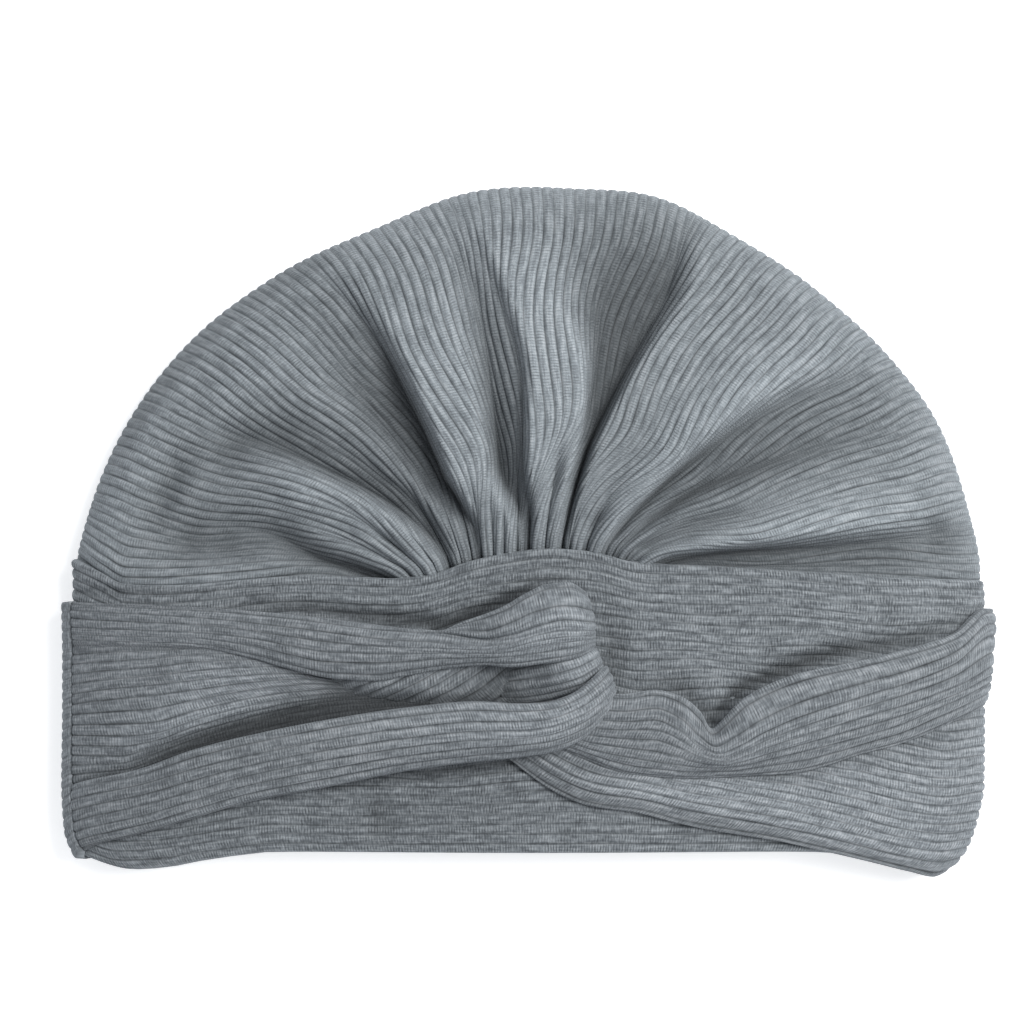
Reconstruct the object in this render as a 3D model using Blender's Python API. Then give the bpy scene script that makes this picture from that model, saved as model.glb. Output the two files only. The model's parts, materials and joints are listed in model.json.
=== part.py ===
"""Ribbed-knit turban headwrap, laid flat on its back with the twist facing up.

Metres. +X is the wearer's left side, +Y points to the crown's top, +Z is up from the surface it lies on.
The origin is the centre of the overall box, at the surface.
"""

from collections import namedtuple
from math import radians

import bmesh
import bpy
import numpy as np

# Driving sizes of the whole hat
HAT_WIDTH = 0.260  # side to side over the wraps, lying flat
HAT_LENGTH = 0.193  # from the lowest hem corner to the top of the crown
SEAM_HEIGHT = 0.027  # top of the front band above the surface, at the gathers
MOUTH_HEIGHT = 0.022  # top of the front band above the surface, at the hem
CROWN_RISE = 0.004  # how far the crown swells above the gathers
EDGE_RADIUS = 0.007  # how round the folded side and crown edges lie
FRONT_FULLNESS = 2.4  # how flat the front lies before it turns down to the edge: 2 is an ellipse

# Cloth
CROWN_WALL = 0.0022
BAND_WALL = 0.0024
BACK_WRAP_WALL = 0.0026
THINNEST_WALL = 0.0009  # where a wrap is stretched flat beside the twist
SEAM_GAP = 0.0004  # between the crown's edge and the band's edge
LAYER_GAP = 0.0005  # between one layer of cloth and the next

# Folds
FOLD_DEPTH = 0.0048  # height of one unit in the tables of folds
PLEAT_COUNT = 15
PLEAT_DEPTH = 0.0011
PLEAT_REACH = 0.34  # share of a rib's length over which the fine pleats die out
SWELL_REACH = 0.77  # share of a rib's length that the crown's swell takes
SWELL_SIDE = 0.17  # share of the ribs on each side over which it begins
FOLD_FADE = 6  # how close to the rim the folds run: higher is closer
RIB_BOW = 0.10  # sideways bow of a rib, as a share of its length
SEAM_PULL_REACH = 0.12  # share of the ribs on each side that bend towards the seam
LIFT_RUN = 0.020  # length over which the back of the crown settles to the surface
WRAP_RISE = 0.010  # height of one unit in the tables of wrap sections
NECK_RISE = 0.0050  # the same where the right wrap's neck is pressed flat under the left loop
NECK_SLACK = 0.0042  # length over which the loop rises over the neck

HALF_WIDTH = HAT_WIDTH / 2
HALF_LENGTH = HAT_LENGTH / 2
BAND_LIFT = BACK_WRAP_WALL + LAYER_GAP

# The gather's centre, which the crown's rim is measured round, as a share of the half length
CENTRE_Y = -0.122

# Crown rim: direction from the gather's centre in degrees, distance as a share of the half width.
# Distances along Y are shares of RIM_HEIGHT half lengths, so that the crown follows both sizes.
RIM_HEIGHT = 1.347
Rim = namedtuple("Rim", "angle radius")
RIM = [
    Rim(-1, 0.965), Rim(0, 0.967), Rim(10, 0.951), Rim(20, 0.937), Rim(31, 0.905), Rim(45, 0.869),
    Rim(60, 0.851), Rim(70, 0.857), Rim(85, 0.834), Rim(97, 0.832), Rim(113, 0.813),
    Rim(130, 0.840), Rim(145, 0.881), Rim(160, 0.922), Rim(180, 0.973),
]
RIM_START, RIM_END = 178.0, -0.5

# Seam between crown and band: shares of the half width and half length
Seam = namedtuple("Seam", "x y")
FRONT_SEAM = [
    Seam(-0.976, -0.072), Seam(-0.908, -0.114), Seam(-0.861, -0.145), Seam(-0.790, -0.148),
    Seam(-0.452, -0.119), Seam(-0.277, -0.128), Seam(-0.213, -0.119), Seam(-0.127, -0.079),
    Seam(-0.037, -0.053), Seam(0.044, -0.042), Seam(0.129, -0.050), Seam(0.241, -0.085),
    Seam(0.369, -0.091), Seam(0.542, -0.105), Seam(0.793, -0.128), Seam(0.976, -0.134),
]
BACK_SEAM = [
    Seam(-0.976, -0.072), Seam(-0.860, -0.150), Seam(0.0, -0.190), Seam(0.860, -0.165),
    Seam(0.976, -0.134),
]
GATHER_LEFT, GATHER_RIGHT = -0.277, 0.260  # ends of the gathered stretch, in half widths
BACK_LEFT, BACK_RIGHT = -0.860, 0.860  # the same on the back, where the crown is eased on

# Sides of the band: height in half lengths, reach to each side in half widths
Side = namedtuple("Side", "y left right")
SIDES = [
    Side(-1.00, 0.890, 0.860), Side(-0.93, 0.950, 0.910), Side(-0.85, 0.971, 0.936),
    Side(-0.72, 0.976, 0.955), Side(-0.50, 0.974, 0.957), Side(-0.35, 0.974, 0.962),
    Side(-0.20, 0.976, 0.976), Side(-0.08, 0.973, 0.966),
]
# Hem of the band: shares of the half width and half length
Hem = namedtuple("Hem", "x y")
BAND_HEM = [
    Hem(-0.98, -0.930), Hem(-0.90, -0.968), Hem(-0.82, -0.962), Hem(-0.70, -0.937),
    Hem(-0.54, -0.914), Hem(0.00, -0.917), Hem(0.60, -0.914), Hem(0.80, -0.925), Hem(0.98, -0.900),
]

# Crown folds. near_u and far_u place the fold across the ribs (0 left, 1 right) at the gathers and at
# the rim; near, mid and far are its height there in fold depths, up for a ridge and down for a valley.
Fold = namedtuple("Fold", "near_u far_u near mid far")
CROWN_FOLDS = [
    Fold(0.000, 0.000, 0.0, 0.0, 0.0),
    Fold(0.030, 0.038, -0.6, -0.7, -0.1),
    Fold(0.140, 0.092, 0.5, 0.3, 0.1),
    Fold(0.212, 0.150, -0.9, -0.5, 0.0),
    Fold(0.245, 0.220, 0.0, 0.1, 0.1),
    Fold(0.282, 0.297, -1.1, -0.8, -0.2),
    Fold(0.360, 0.352, 0.8, 0.8, 0.25),
    Fold(0.447, 0.415, -1.2, -0.8, 0.0),
    Fold(0.535, 0.450, 0.6, 0.7, 0.3),
    Fold(0.655, 0.622, -1.3, -1.2, -0.6),
    Fold(0.705, 0.662, 0.7, 0.8, 0.5),
    Fold(0.765, 0.742, -0.1, -0.2, 0.1),
    Fold(0.800, 0.788, 0.5, 0.7, 0.4),
    Fold(0.855, 0.850, -0.8, -0.6, -0.1),
    Fold(0.905, 0.890, 0.2, 0.4, 0.2),
    Fold(0.925, 0.910, -0.1, 0.1, 0.0),
    Fold(0.948, 0.930, 0.4, 0.5, 0.3),
    Fold(0.985, 0.960, -0.8, -0.8, -0.4),
    Fold(1.000, 1.000, 0.0, 0.0, 0.0),
]

# Where the wraps end, as directions round the flattened hat in degrees: 180 is the left edge, 90 the
# middle of the front, 0 the right edge, and 270 the middle of the back
LEFT_SEAM = 171  # the left wrap meets the back wrap on the left edge
RIGHT_SEAM = -12  # the right wrap meets the back wrap under the right edge
TURN_GAP = 1.2  # between the wraps' ends at those seams

# Wrap sections. Each row is one section across a wrap: along is the share of the wrap's run and turn its
# direction. Next comes each line that runs along the wrap, as its place in half lengths, followed by its
# height above the layer below, in units of WRAP_RISE, or of NECK_RISE for the neck.
Section = namedtuple(
    "Section", "along turn top crest crest_h fold fold_h flat flat_h groove groove_h strip strip_h hem"
)
LEFT_SECTIONS = [
    Section(0.00, LEFT_SEAM, -0.195, -0.225, 0.26, -0.33, 0.26, -0.5, 0.26, -0.69, 0.24, -0.79, 0.31, -0.915),
    Section(0.10, 151, -0.218, -0.250, 0.30, -0.35, 0.28, -0.52, 0.25, -0.68, 0.18, -0.77, 0.42, -0.860),
    Section(0.24, 136, -0.222, -0.265, 0.38, -0.36, 0.34, -0.51, 0.25, -0.625, 0.14, -0.70, 0.54, -0.799),
    Section(0.43, 120, -0.238, -0.295, 0.56, -0.39, 0.44, -0.47, 0.28, -0.545, 0.11, -0.62, 0.66, -0.721),
    Section(0.62, 106.5, -0.266, -0.325, 0.82, -0.40, 0.72, -0.455, 0.41, -0.490, 0.09, -0.57, 0.82, -0.680),
    Section(0.73, 99, -0.258, -0.325, 0.98, -0.388, 0.88, -0.455, 0.38, -0.486, 0.09, -0.565, 0.90, -0.669),
    Section(0.83, 92, -0.203, -0.295, 1.16, -0.378, 1.02, -0.430, 0.46, -0.490, 0.12, -0.565, 1.00, -0.657),
    Section(0.91, 87.5, -0.154, -0.280, 1.32, -0.367, 1.14, -0.420, 0.76, -0.490, 0.40, -0.555, 1.16, -0.646),
    Section(1.00, 81.5, -0.165, -0.252, 1.26, -0.340, 1.06, -0.365, 0.86, -0.400, 0.66, -0.476, 1.14, -0.620),
]
NECK_SECTIONS = [
    Section(0.00, 88, -0.480, -0.52, 0.86, -0.58, 0.86, -0.62, 0.82, -0.65, 0.74, -0.68, 0.70, -0.705),
    Section(0.10, 82, -0.455, -0.50, 0.88, -0.57, 0.86, -0.64, 0.74, -0.67, 0.56, -0.72, 0.66, -0.765),
    Section(0.15, 79.6, -0.440, -0.495, 0.98, -0.58, 0.94, -0.65, 0.80, -0.690, 0.44, -0.74, 0.68, -0.790),
]
RIGHT_SECTIONS = [
    Section(0.20, 77, -0.437, -0.495, 0.76, -0.58, 0.72, -0.65, 0.46, -0.702, 0.13, -0.755, 0.36, -0.810),
    Section(0.26, 73, -0.453, -0.52, 0.96, -0.61, 0.80, -0.67, 0.54, -0.711, 0.10, -0.77, 0.38, -0.833),
    Section(0.34, 67.6, -0.515, -0.57, 0.80, -0.63, 0.76, -0.68, 0.58, -0.711, 0.10, -0.77, 0.38, -0.856),
    Section(0.38, 65, -0.530, -0.59, 0.76, -0.64, 0.76, -0.68, 0.60, -0.711, 0.10, -0.78, 0.38, -0.868),
    Section(0.43, 61.9, -0.476, -0.56, 0.90, -0.63, 0.82, -0.675, 0.62, -0.707, 0.11, -0.78, 0.37, -0.880),
    Section(0.53, 52.8, -0.404, -0.50, 0.98, -0.60, 0.80, -0.660, 0.56, -0.697, 0.14, -0.79, 0.34, -0.905),
    Section(0.68, 34.1, -0.332, -0.44, 0.80, -0.55, 0.62, -0.595, 0.44, -0.640, 0.22, -0.78, 0.30, -0.980),
    Section(0.75, 25, -0.306, -0.42, 0.72, -0.525, 0.54, -0.583, 0.40, -0.635, 0.24, -0.78, 0.29, -1.000),
    Section(0.82, 15.8, -0.286, -0.40, 0.62, -0.50, 0.46, -0.57, 0.34, -0.630, 0.26, -0.78, 0.28, -0.988),
    Section(0.93, 0, -0.250, -0.37, 0.50, -0.48, 0.34, -0.56, 0.28, -0.630, 0.26, -0.78, 0.27, -0.955),
    Section(1.00, RIGHT_SEAM, -0.245, -0.36, 0.26, -0.47, 0.25, -0.56, 0.25, -0.63, 0.25, -0.78, 0.25, -0.95),
]
EDGE_SHARE = 0.10  # height of a wrap's long edges, in wrap rises

# Where the lines of a wrap end at the twist, in degrees round the hat: the loop's end is rounded
EndTurn = namedtuple("EndTurn", "top crest fold flat groove strip hem")
LEFT_END = EndTurn(83.9, 81.6, 81.4, 80.7, 79.7, 79.2, 84.6)
RIGHT_START = EndTurn(86.1, 87.3, 88.5, 90.0, 90.7, 91.0, 88.8)
LEFT_END_ROUND = 0.075  # share of the left wrap's run that rounds over at the twist
LEFT_END_DROP = 0.8  # how far the loop's end comes down towards its underside: 1 is all the way
SHOULDER_PLACE, SHOULDER_HEIGHT = 0.2, 0.62  # roundness of a wrap's long edges, towards the next line

# Back wrap: share of its run from the left seam to the right one, top and hem in half lengths
BackEdge = namedtuple("BackEdge", "along top hem")
BACK_WRAP_EDGES = [
    BackEdge(0.00, -0.195, -0.915), BackEdge(0.05, -0.200, -0.940), BackEdge(0.14, -0.225, -0.940),
    BackEdge(0.22, -0.230, -0.905), BackEdge(0.56, -0.230, -0.900), BackEdge(0.85, -0.235, -0.905),
    BackEdge(0.93, -0.240, -0.940), BackEdge(1.00, -0.245, -0.950),
]

# Colours, linear, with roughness
KNIT_COLOUR = (0.187, 0.214, 0.232, 1.0)
BAND_COLOUR = (0.178, 0.204, 0.222, 1.0)
WRAP_COLOUR = (0.196, 0.224, 0.240, 1.0)
KNIT_ROUGHNESS = 0.92

# Sampling
CROWN_RIBS_ACROSS = 84
CROWN_FRONT_ROWS = 11
CROWN_BACK_ROWS = 7
BAND_TURNS = 60
BAND_ROWS = 7
BACK_WRAP_TURNS = 44
BACK_WRAP_ROWS = 7
HEM_CLOSENESS = 1.8  # how much closer the rows lie towards a hem
WRAP_ACROSS = 14
LEFT_RUNS = 22
RIGHT_RUNS = 28


def smooth(knots, values, at):
    """A smooth curve through the values, without overshoot between them."""
    knots, values = np.asarray(knots, float), np.asarray(values, float)
    step = np.diff(knots)
    rise = np.diff(values) / step
    slope = np.concatenate([rise[:1], np.zeros(len(rise) - 1), rise[-1:]])
    same_way = rise[:-1] * rise[1:] > 0
    total = np.where(same_way, rise[:-1] + rise[1:], 1)
    slope[1:-1] = np.where(same_way, 2 * rise[:-1] * rise[1:] / total, 0)
    i = np.clip(np.searchsorted(knots, at) - 1, 0, len(step) - 1)
    t = np.clip((at - knots[i]) / step[i], 0, 1)
    return (
        values[i] * (1 + 2 * t) * (1 - t) ** 2
        + step[i] * slope[i] * t * (1 - t) ** 2
        + values[i + 1] * t * t * (3 - 2 * t)
        + step[i] * slope[i + 1] * t * t * (t - 1)
    )


def column(rows, name):
    return [getattr(row, name) for row in rows]


def ease(t):
    t = np.clip(t, 0, 1)
    return t * t * (3 - 2 * t)


def front_seam(x):
    return HALF_LENGTH * smooth(column(FRONT_SEAM, "x"), column(FRONT_SEAM, "y"), x / HALF_WIDTH)


def back_seam(x):
    return HALF_LENGTH * smooth(column(BACK_SEAM, "x"), column(BACK_SEAM, "y"), x / HALF_WIDTH)


def rim_radius(angle):
    return HALF_WIDTH * smooth(column(RIM, "angle"), column(RIM, "radius"), angle)


def rim_point(u):
    """Point of the crown's rim at share u of its length, from left to right."""
    angle = np.linspace(RIM_START, RIM_END, 720)
    radius = rim_radius(angle)
    x = radius * np.cos(np.radians(angle))
    y = HALF_LENGTH * CENTRE_Y + radius * np.sin(np.radians(angle)) * RIM_HEIGHT * HALF_LENGTH / HALF_WIDTH
    length = np.concatenate([[0], np.cumsum(np.hypot(np.diff(x), np.diff(y)))])
    at = u * length[-1]
    return np.interp(at, length, x), np.interp(at, length, y)


def polar(x, y):
    """Distance from the gather's centre as a share of the rim's, and the rim's distance there."""
    dy = (y - CENTRE_Y * HALF_LENGTH) * HALF_WIDTH / (RIM_HEIGHT * HALF_LENGTH)
    angle = np.degrees(np.arctan2(dy, x))
    angle = np.where(angle < -90, angle + 360, angle)
    radius = rim_radius(np.clip(angle, -1, 180))
    return np.hypot(x, dy) / radius, radius


def underside(y):
    """Height of the hat's underside: the band lies on the back wrap, the crown on the surface."""
    return BAND_LIFT * (1 - ease((y - CENTRE_Y * HALF_LENGTH) / LIFT_RUN))


def front_height(y):
    share = (y + HALF_LENGTH) / (HALF_LENGTH * (1 + CENTRE_Y))
    return MOUTH_HEIGHT + (SEAM_HEIGHT - MOUTH_HEIGHT) * ease(share)


def front_profile(reach, y, wall=0.0):
    """Height of the front at share reach of the way to the edge, for a layer that far inside."""
    middle = underside(y) + EDGE_RADIUS
    top = front_height(y) - wall
    return middle + (top - middle) * np.sqrt(np.clip(1 - reach**FRONT_FULLNESS, 0, 1))


def back_profile(inset, y, wall=0.0):
    """Height of the back at this distance in from the edge: round at the edge, then flat."""
    low = underside(y) + wall
    radius = EDGE_RADIUS - wall
    across = np.clip(radius - inset, 0, radius)
    return low + radius - np.sqrt(radius**2 - across**2)


def crown_plan_front(u, v):
    """Plan place of rib u at share v of its length, from the gathers to the rim."""
    far_x, far_y = rim_point(u)
    near_x = HALF_WIDTH * (GATHER_LEFT + (GATHER_RIGHT - GATHER_LEFT) * u)
    near_y = front_seam(near_x)
    run_x, run_y = far_x - near_x, far_y - near_y
    bow = -RIB_BOW * np.sin(2 * np.pi * u) * 4 * v * (1 - v)
    x = near_x + run_x * v - run_y * bow
    y = near_y + run_y * v + run_x * bow
    return x, y + side_seam_pull(u, v, front_seam, (GATHER_LEFT, GATHER_RIGHT))


def crown_plan_back(u, w):
    """Plan place of rib u at share w of its length, from the rim down to the back seam."""
    far_x, far_y = rim_point(u)
    near_x = HALF_WIDTH * (BACK_LEFT + (BACK_RIGHT - BACK_LEFT) * u)
    x = far_x + (near_x - far_x) * w
    y = far_y + (back_seam(near_x) - far_y) * w
    return x, y + side_seam_pull(u, 1 - w, back_seam, (BACK_LEFT, BACK_RIGHT))


def side_seam_pull(u, v, seam, ends):
    """Brings the outermost ribs onto the seam, which they run along, at share v of their length."""
    left = u < 0.5
    near_x = HALF_WIDTH * np.where(left, *ends)
    far_x, far_y = rim_point(np.where(left, 0.0, 1.0))
    x = near_x + (far_x - near_x) * v
    straight = seam(near_x) + (far_y - seam(near_x)) * v
    nearness = np.clip(1 - np.minimum(u, 1 - u) / SEAM_PULL_REACH, 0, 1)
    return nearness**2 * (seam(x) - straight)


def crown_folds(u, v):
    """Height of the main folds over the plain dome, in fold depths."""
    near_u, far_u = np.array(column(CROWN_FOLDS, "near_u")), np.array(column(CROWN_FOLDS, "far_u"))
    heights = np.array([[0, f.near, f.mid, f.far, 0.3 * f.far] for f in CROWN_FOLDS])
    out = np.zeros(np.broadcast(u, v).shape)
    for i in range(out.shape[1]):
        share = v[0, i]
        places = near_u + (far_u - near_u) * share
        at = np.array([smooth([0, 0.2, 0.5, 0.85, 1.0], row, np.array([share]))[0] for row in heights])
        k = np.clip(np.searchsorted(places, u[:, i]) - 1, 0, len(places) - 2)
        t = ease((u[:, i] - places[k]) / (places[k + 1] - places[k]))
        out[:, i] = at[k] + (at[k + 1] - at[k]) * t
    return out


def pleats(u, v):
    """Height of the fine pleats that the gathering makes, dying out up the crown."""
    fade = np.clip(1 - v / PLEAT_REACH, 0, 1) ** 1.5
    ends = ease(u / 0.05) * ease((1 - u) / 0.05)
    return PLEAT_DEPTH * fade * ends * np.cos(2 * np.pi * PLEAT_COUNT * u)


def crown_layer(wall):
    """Grid of points of the crown's outer (wall 0) or inner surface: ribs across, then along a rib."""
    u = np.linspace(0, 1, CROWN_RIBS_ACROSS + 1)[:, None]
    v = np.sin(np.pi / 2 * np.linspace(0, 1, CROWN_FRONT_ROWS + 1))[None, :]
    w = (np.linspace(0, 1, CROWN_BACK_ROWS + 1)[1:] ** 2.4)[None, :]
    front = crown_plan_front(u, v)
    back = crown_plan_back(u, w)
    x = np.concatenate([front[0], back[0]], axis=1)
    y = np.concatenate([front[1], back[1]], axis=1) + SEAM_GAP
    reach, radius = polar(x, y)
    n = v.shape[1]
    reach = np.minimum(reach, 1)
    grid_u, grid_v = np.broadcast_arrays(u, v)
    swell = CROWN_RISE * np.sin(np.pi * np.clip(grid_v / SWELL_REACH, 0, 1))
    swell = swell * ease(np.minimum(grid_u, 1 - grid_u) / SWELL_SIDE)
    relief = FOLD_DEPTH * crown_folds(grid_u, grid_v) + swell
    if wall == 0:
        relief = relief + pleats(grid_u, grid_v)
    z = np.empty_like(x)
    z[:, :n] = front_profile(reach[:, :n], y[:, :n], wall) + relief * (1 - reach[:, :n] ** FOLD_FADE)
    z[:, n:] = back_profile((1 - reach[:, n:]) * radius[:, n:], y[:, n:], wall)
    inwards = 1 - wall / radius
    centre = CENTRE_Y * HALF_LENGTH
    return np.stack([x * inwards, centre + (y - centre) * inwards, z], axis=-1)


def side_reach(turn, y):
    """Half width of the band on the side that this turn lies on."""
    at = np.clip(y / HALF_LENGTH, -1, 0)
    left = smooth(column(SIDES, "y"), column(SIDES, "left"), at)
    right = smooth(column(SIDES, "y"), column(SIDES, "right"), at)
    leftness = ease(0.5 - 2 * np.cos(np.radians(turn)))
    return HALF_WIDTH * (right + (left - right) * leftness)


def band_point(turn, y, height):
    """Point above the band's outer surface by this height, at this turn round the flattened loop."""
    half = side_reach(turn, y)

    def outline(at):
        x = half * np.cos(np.radians(at))
        front = front_profile(np.abs(x) / half, y)
        back = back_profile(half - np.abs(x), y)
        return x, np.where(np.sin(np.radians(at)) >= 0, front, back)

    x, z = outline(turn)
    ahead_x, ahead_z = outline(turn - 0.5)
    behind_x, behind_z = outline(turn + 0.5)
    dx, dz = ahead_x - behind_x, ahead_z - behind_z
    size = np.hypot(dx, dz)
    return np.stack([x - dz / size * height, y + 0 * x, z + dx / size * height], axis=-1)


def towards_hem(rows):
    return 1 - (1 - np.linspace(0, 1, rows + 1)[None, :]) ** HEM_CLOSENESS


def band_layer(wall):
    turn = np.linspace(0, 360, BAND_TURNS, endpoint=False)[:, None]
    share = towards_hem(BAND_ROWS)
    x = side_reach(turn, -0.1 * HALF_LENGTH) * np.cos(np.radians(turn))
    top = np.where(np.sin(np.radians(turn)) >= 0, front_seam(x), back_seam(x)) - SEAM_GAP / 2
    hem = HALF_LENGTH * smooth(column(BAND_HEM, "x"), column(BAND_HEM, "y"), x / HALF_WIDTH)
    turn, y = np.broadcast_arrays(turn, top + (hem - top) * share)
    return band_point(turn, y, np.full(y.shape, -wall))


def neck_room(x, y):
    """Height of the left wrap's underside, which rises where the right wrap's neck passes."""
    neck_left = HALF_WIDTH * np.cos(radians(max(RIGHT_START))) - LAYER_GAP
    neck_top = HALF_LENGTH * max(column(NECK_SECTIONS, "top")) + LAYER_GAP
    in_x = ease((x - neck_left) / NECK_SLACK + 1)
    in_y = ease((neck_top - y) / NECK_SLACK + 1)
    return LAYER_GAP + (NECK_RISE + LAYER_GAP) * in_x * in_y


def wrap_lines(sections, rises, ends, ends_at):
    """The lines that run along a wrap: the turn, place and height of each at each section."""
    lines = []
    for name in EndTurn._fields:
        turn = np.array(column(sections, "turn"), float)
        turn[ends_at] = getattr(ends, name)
        place = HALF_LENGTH * np.array(column(sections, name), float)
        if name in ("top", "hem"):
            height = np.full(len(sections), EDGE_SHARE * WRAP_RISE)
        else:
            height = np.array(column(sections, name + "_h"), float) * rises
        lines.append((turn, place, LAYER_GAP + height))
    return lines


def shoulder(edge, neighbour):
    """A line just inside an edge, which makes the edge round."""
    shares = (SHOULDER_PLACE, SHOULDER_PLACE, SHOULDER_HEIGHT)
    return tuple(e + (n - e) * share for e, n, share in zip(edge, neighbour, shares))


def wrap_surface(sections, rises, ends, ends_at, runs, across):
    """Turn, place and height over a grid: runs along the wrap, then across it from top to hem."""
    lines = wrap_lines(sections, rises, ends, ends_at)
    lines.insert(1, shoulder(lines[0], lines[1]))
    lines.insert(-1, shoulder(lines[-1], lines[-2]))
    along = column(sections, "along")
    t = np.linspace(0, 1, runs + 1)
    by_line = np.array([[smooth(along, values, t) for values in line] for line in lines])
    places = np.arange(len(lines))
    s = np.linspace(0, len(lines) - 1, across + 1)
    grid = np.array([[smooth(places, by_line[:, k, i], s) for i in range(runs + 1)] for k in range(3)])
    return t[:, None], grid[0], grid[1], grid[2]


def left_wrap_layers():
    rises = np.full(len(LEFT_SECTIONS), WRAP_RISE)
    t, turn, y, height = wrap_surface(LEFT_SECTIONS, rises, LEFT_END, -1, LEFT_RUNS, WRAP_ACROSS)
    x = side_reach(turn, y) * np.cos(np.radians(turn))
    under = neck_room(x, y)
    past = np.clip((t - (1 - LEFT_END_ROUND)) / LEFT_END_ROUND, 0, 1)
    over = under + (height - under) * (1 - LEFT_END_DROP * (1 - np.sqrt(1 - past**2)))
    over = np.maximum(over, under + THINNEST_WALL)
    return band_point(turn, y, over), band_point(turn, y, under)


def right_wrap_layers():
    sections = NECK_SECTIONS + RIGHT_SECTIONS
    rises = np.array([NECK_RISE] * len(NECK_SECTIONS) + [WRAP_RISE] * len(RIGHT_SECTIONS))
    _, turn, y, over = wrap_surface(sections, rises, RIGHT_START, 0, RIGHT_RUNS, WRAP_ACROSS)
    under = np.full(y.shape, LAYER_GAP)
    over = np.maximum(over, under + THINNEST_WALL)
    return band_point(turn, y, over), band_point(turn, y, under)


def back_wrap_layers():
    along = np.linspace(0, 1, BACK_WRAP_TURNS + 1)[:, None]
    start, end = LEFT_SEAM + TURN_GAP, 360 + RIGHT_SEAM - TURN_GAP
    turn = start + (end - start) * along
    known = column(BACK_WRAP_EDGES, "along")
    top = HALF_LENGTH * smooth(known, column(BACK_WRAP_EDGES, "top"), along)
    hem = HALF_LENGTH * smooth(known, column(BACK_WRAP_EDGES, "hem"), along)
    turn, y = np.broadcast_arrays(turn, top + (hem - top) * towards_hem(BACK_WRAP_ROWS))
    outer = np.full(y.shape, LAYER_GAP + BACK_WRAP_WALL)
    return band_point(turn, y, outer), band_point(turn, y, np.full(y.shape, LAYER_GAP))


def knit_material(name, colour):
    material = bpy.data.materials.new(name)
    material.use_nodes = True
    shader = material.node_tree.nodes["Principled BSDF"]
    shader.inputs["Base Color"].default_value = colour
    shader.inputs["Roughness"].default_value = KNIT_ROUGHNESS
    shader.inputs["Metallic"].default_value = 0.0
    return material


def thick_sheet(name, outer, inner, material, closed=False):
    """One closed solid between two grids of points; closed joins the first and last row of a loop."""
    rows, across = outer.shape[:2]
    mesh = bpy.data.meshes.new(name)
    shell = bmesh.new()
    grids = [[[shell.verts.new(p) for p in row] for row in layer] for layer in (outer, inner)]
    steps = [(i, (i + 1) % rows) for i in range(rows if closed else rows - 1)]
    for grid in grids:
        for i, k in steps:
            for j in range(across - 1):
                shell.faces.new((grid[i][j], grid[k][j], grid[k][j + 1], grid[i][j + 1]))
    for j in (0, across - 1):
        for i, k in steps:
            shell.faces.new((grids[0][i][j], grids[0][k][j], grids[1][k][j], grids[1][i][j]))
    if not closed:
        for i in (0, rows - 1):
            for j in range(across - 1):
                shell.faces.new((grids[0][i][j], grids[0][i][j + 1], grids[1][i][j + 1], grids[1][i][j]))
    bmesh.ops.recalc_face_normals(shell, faces=shell.faces)
    shell.to_mesh(mesh)
    shell.free()
    mesh.shade_smooth()
    mesh.set_sharp_from_angle(angle=radians(50))
    mesh.materials.append(material)
    part = bpy.data.objects.new(name, mesh)
    bpy.context.scene.collection.objects.link(part)
    return part


def centre_on_surface(parts):
    """Puts the origin at the middle of the overall box, level with the surface."""
    points = np.array([v.co for part in parts for v in part.data.vertices])
    low, high = points.min(axis=0), points.max(axis=0)
    shift = np.array([-(low[0] + high[0]) / 2, -(low[1] + high[1]) / 2, -low[2]])
    for part in parts:
        for vertex in part.data.vertices:
            vertex.co = [vertex.co[k] + shift[k] for k in range(3)]
    print("overall size in mm", np.round((high - low) * 1000, 1), "shift", np.round(shift * 1000, 2))


def main():
    for old in list(bpy.data.objects):
        bpy.data.objects.remove(old)
    crown_knit = knit_material("crown_knit", KNIT_COLOUR)
    band_knit = knit_material("band_knit", BAND_COLOUR)
    wrap_knit = knit_material("wrap_knit", WRAP_COLOUR)
    parts = [
        thick_sheet("crown", crown_layer(0.0), crown_layer(CROWN_WALL), crown_knit),
        thick_sheet("band", band_layer(0.0), band_layer(BAND_WALL), band_knit, closed=True),
        thick_sheet("left_wrap", *left_wrap_layers(), wrap_knit),
        thick_sheet("right_wrap", *right_wrap_layers(), wrap_knit),
        thick_sheet("back_wrap", *back_wrap_layers(), wrap_knit),
    ]
    centre_on_surface(parts)


main()
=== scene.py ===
# %% [markdown]
# # A turban headwrap in ribbed knit
#
# The hat lies on its back on a white table and is seen from straight above. It is sewn from soft cotton
# rib knit: a crown gathered into a doubled band, and a strap that twists once in front. This lesson dresses
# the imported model: its solids are loaded first, and each visible cloth is then laid where its solid is.

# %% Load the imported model
import json
import math
from collections import namedtuple

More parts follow.
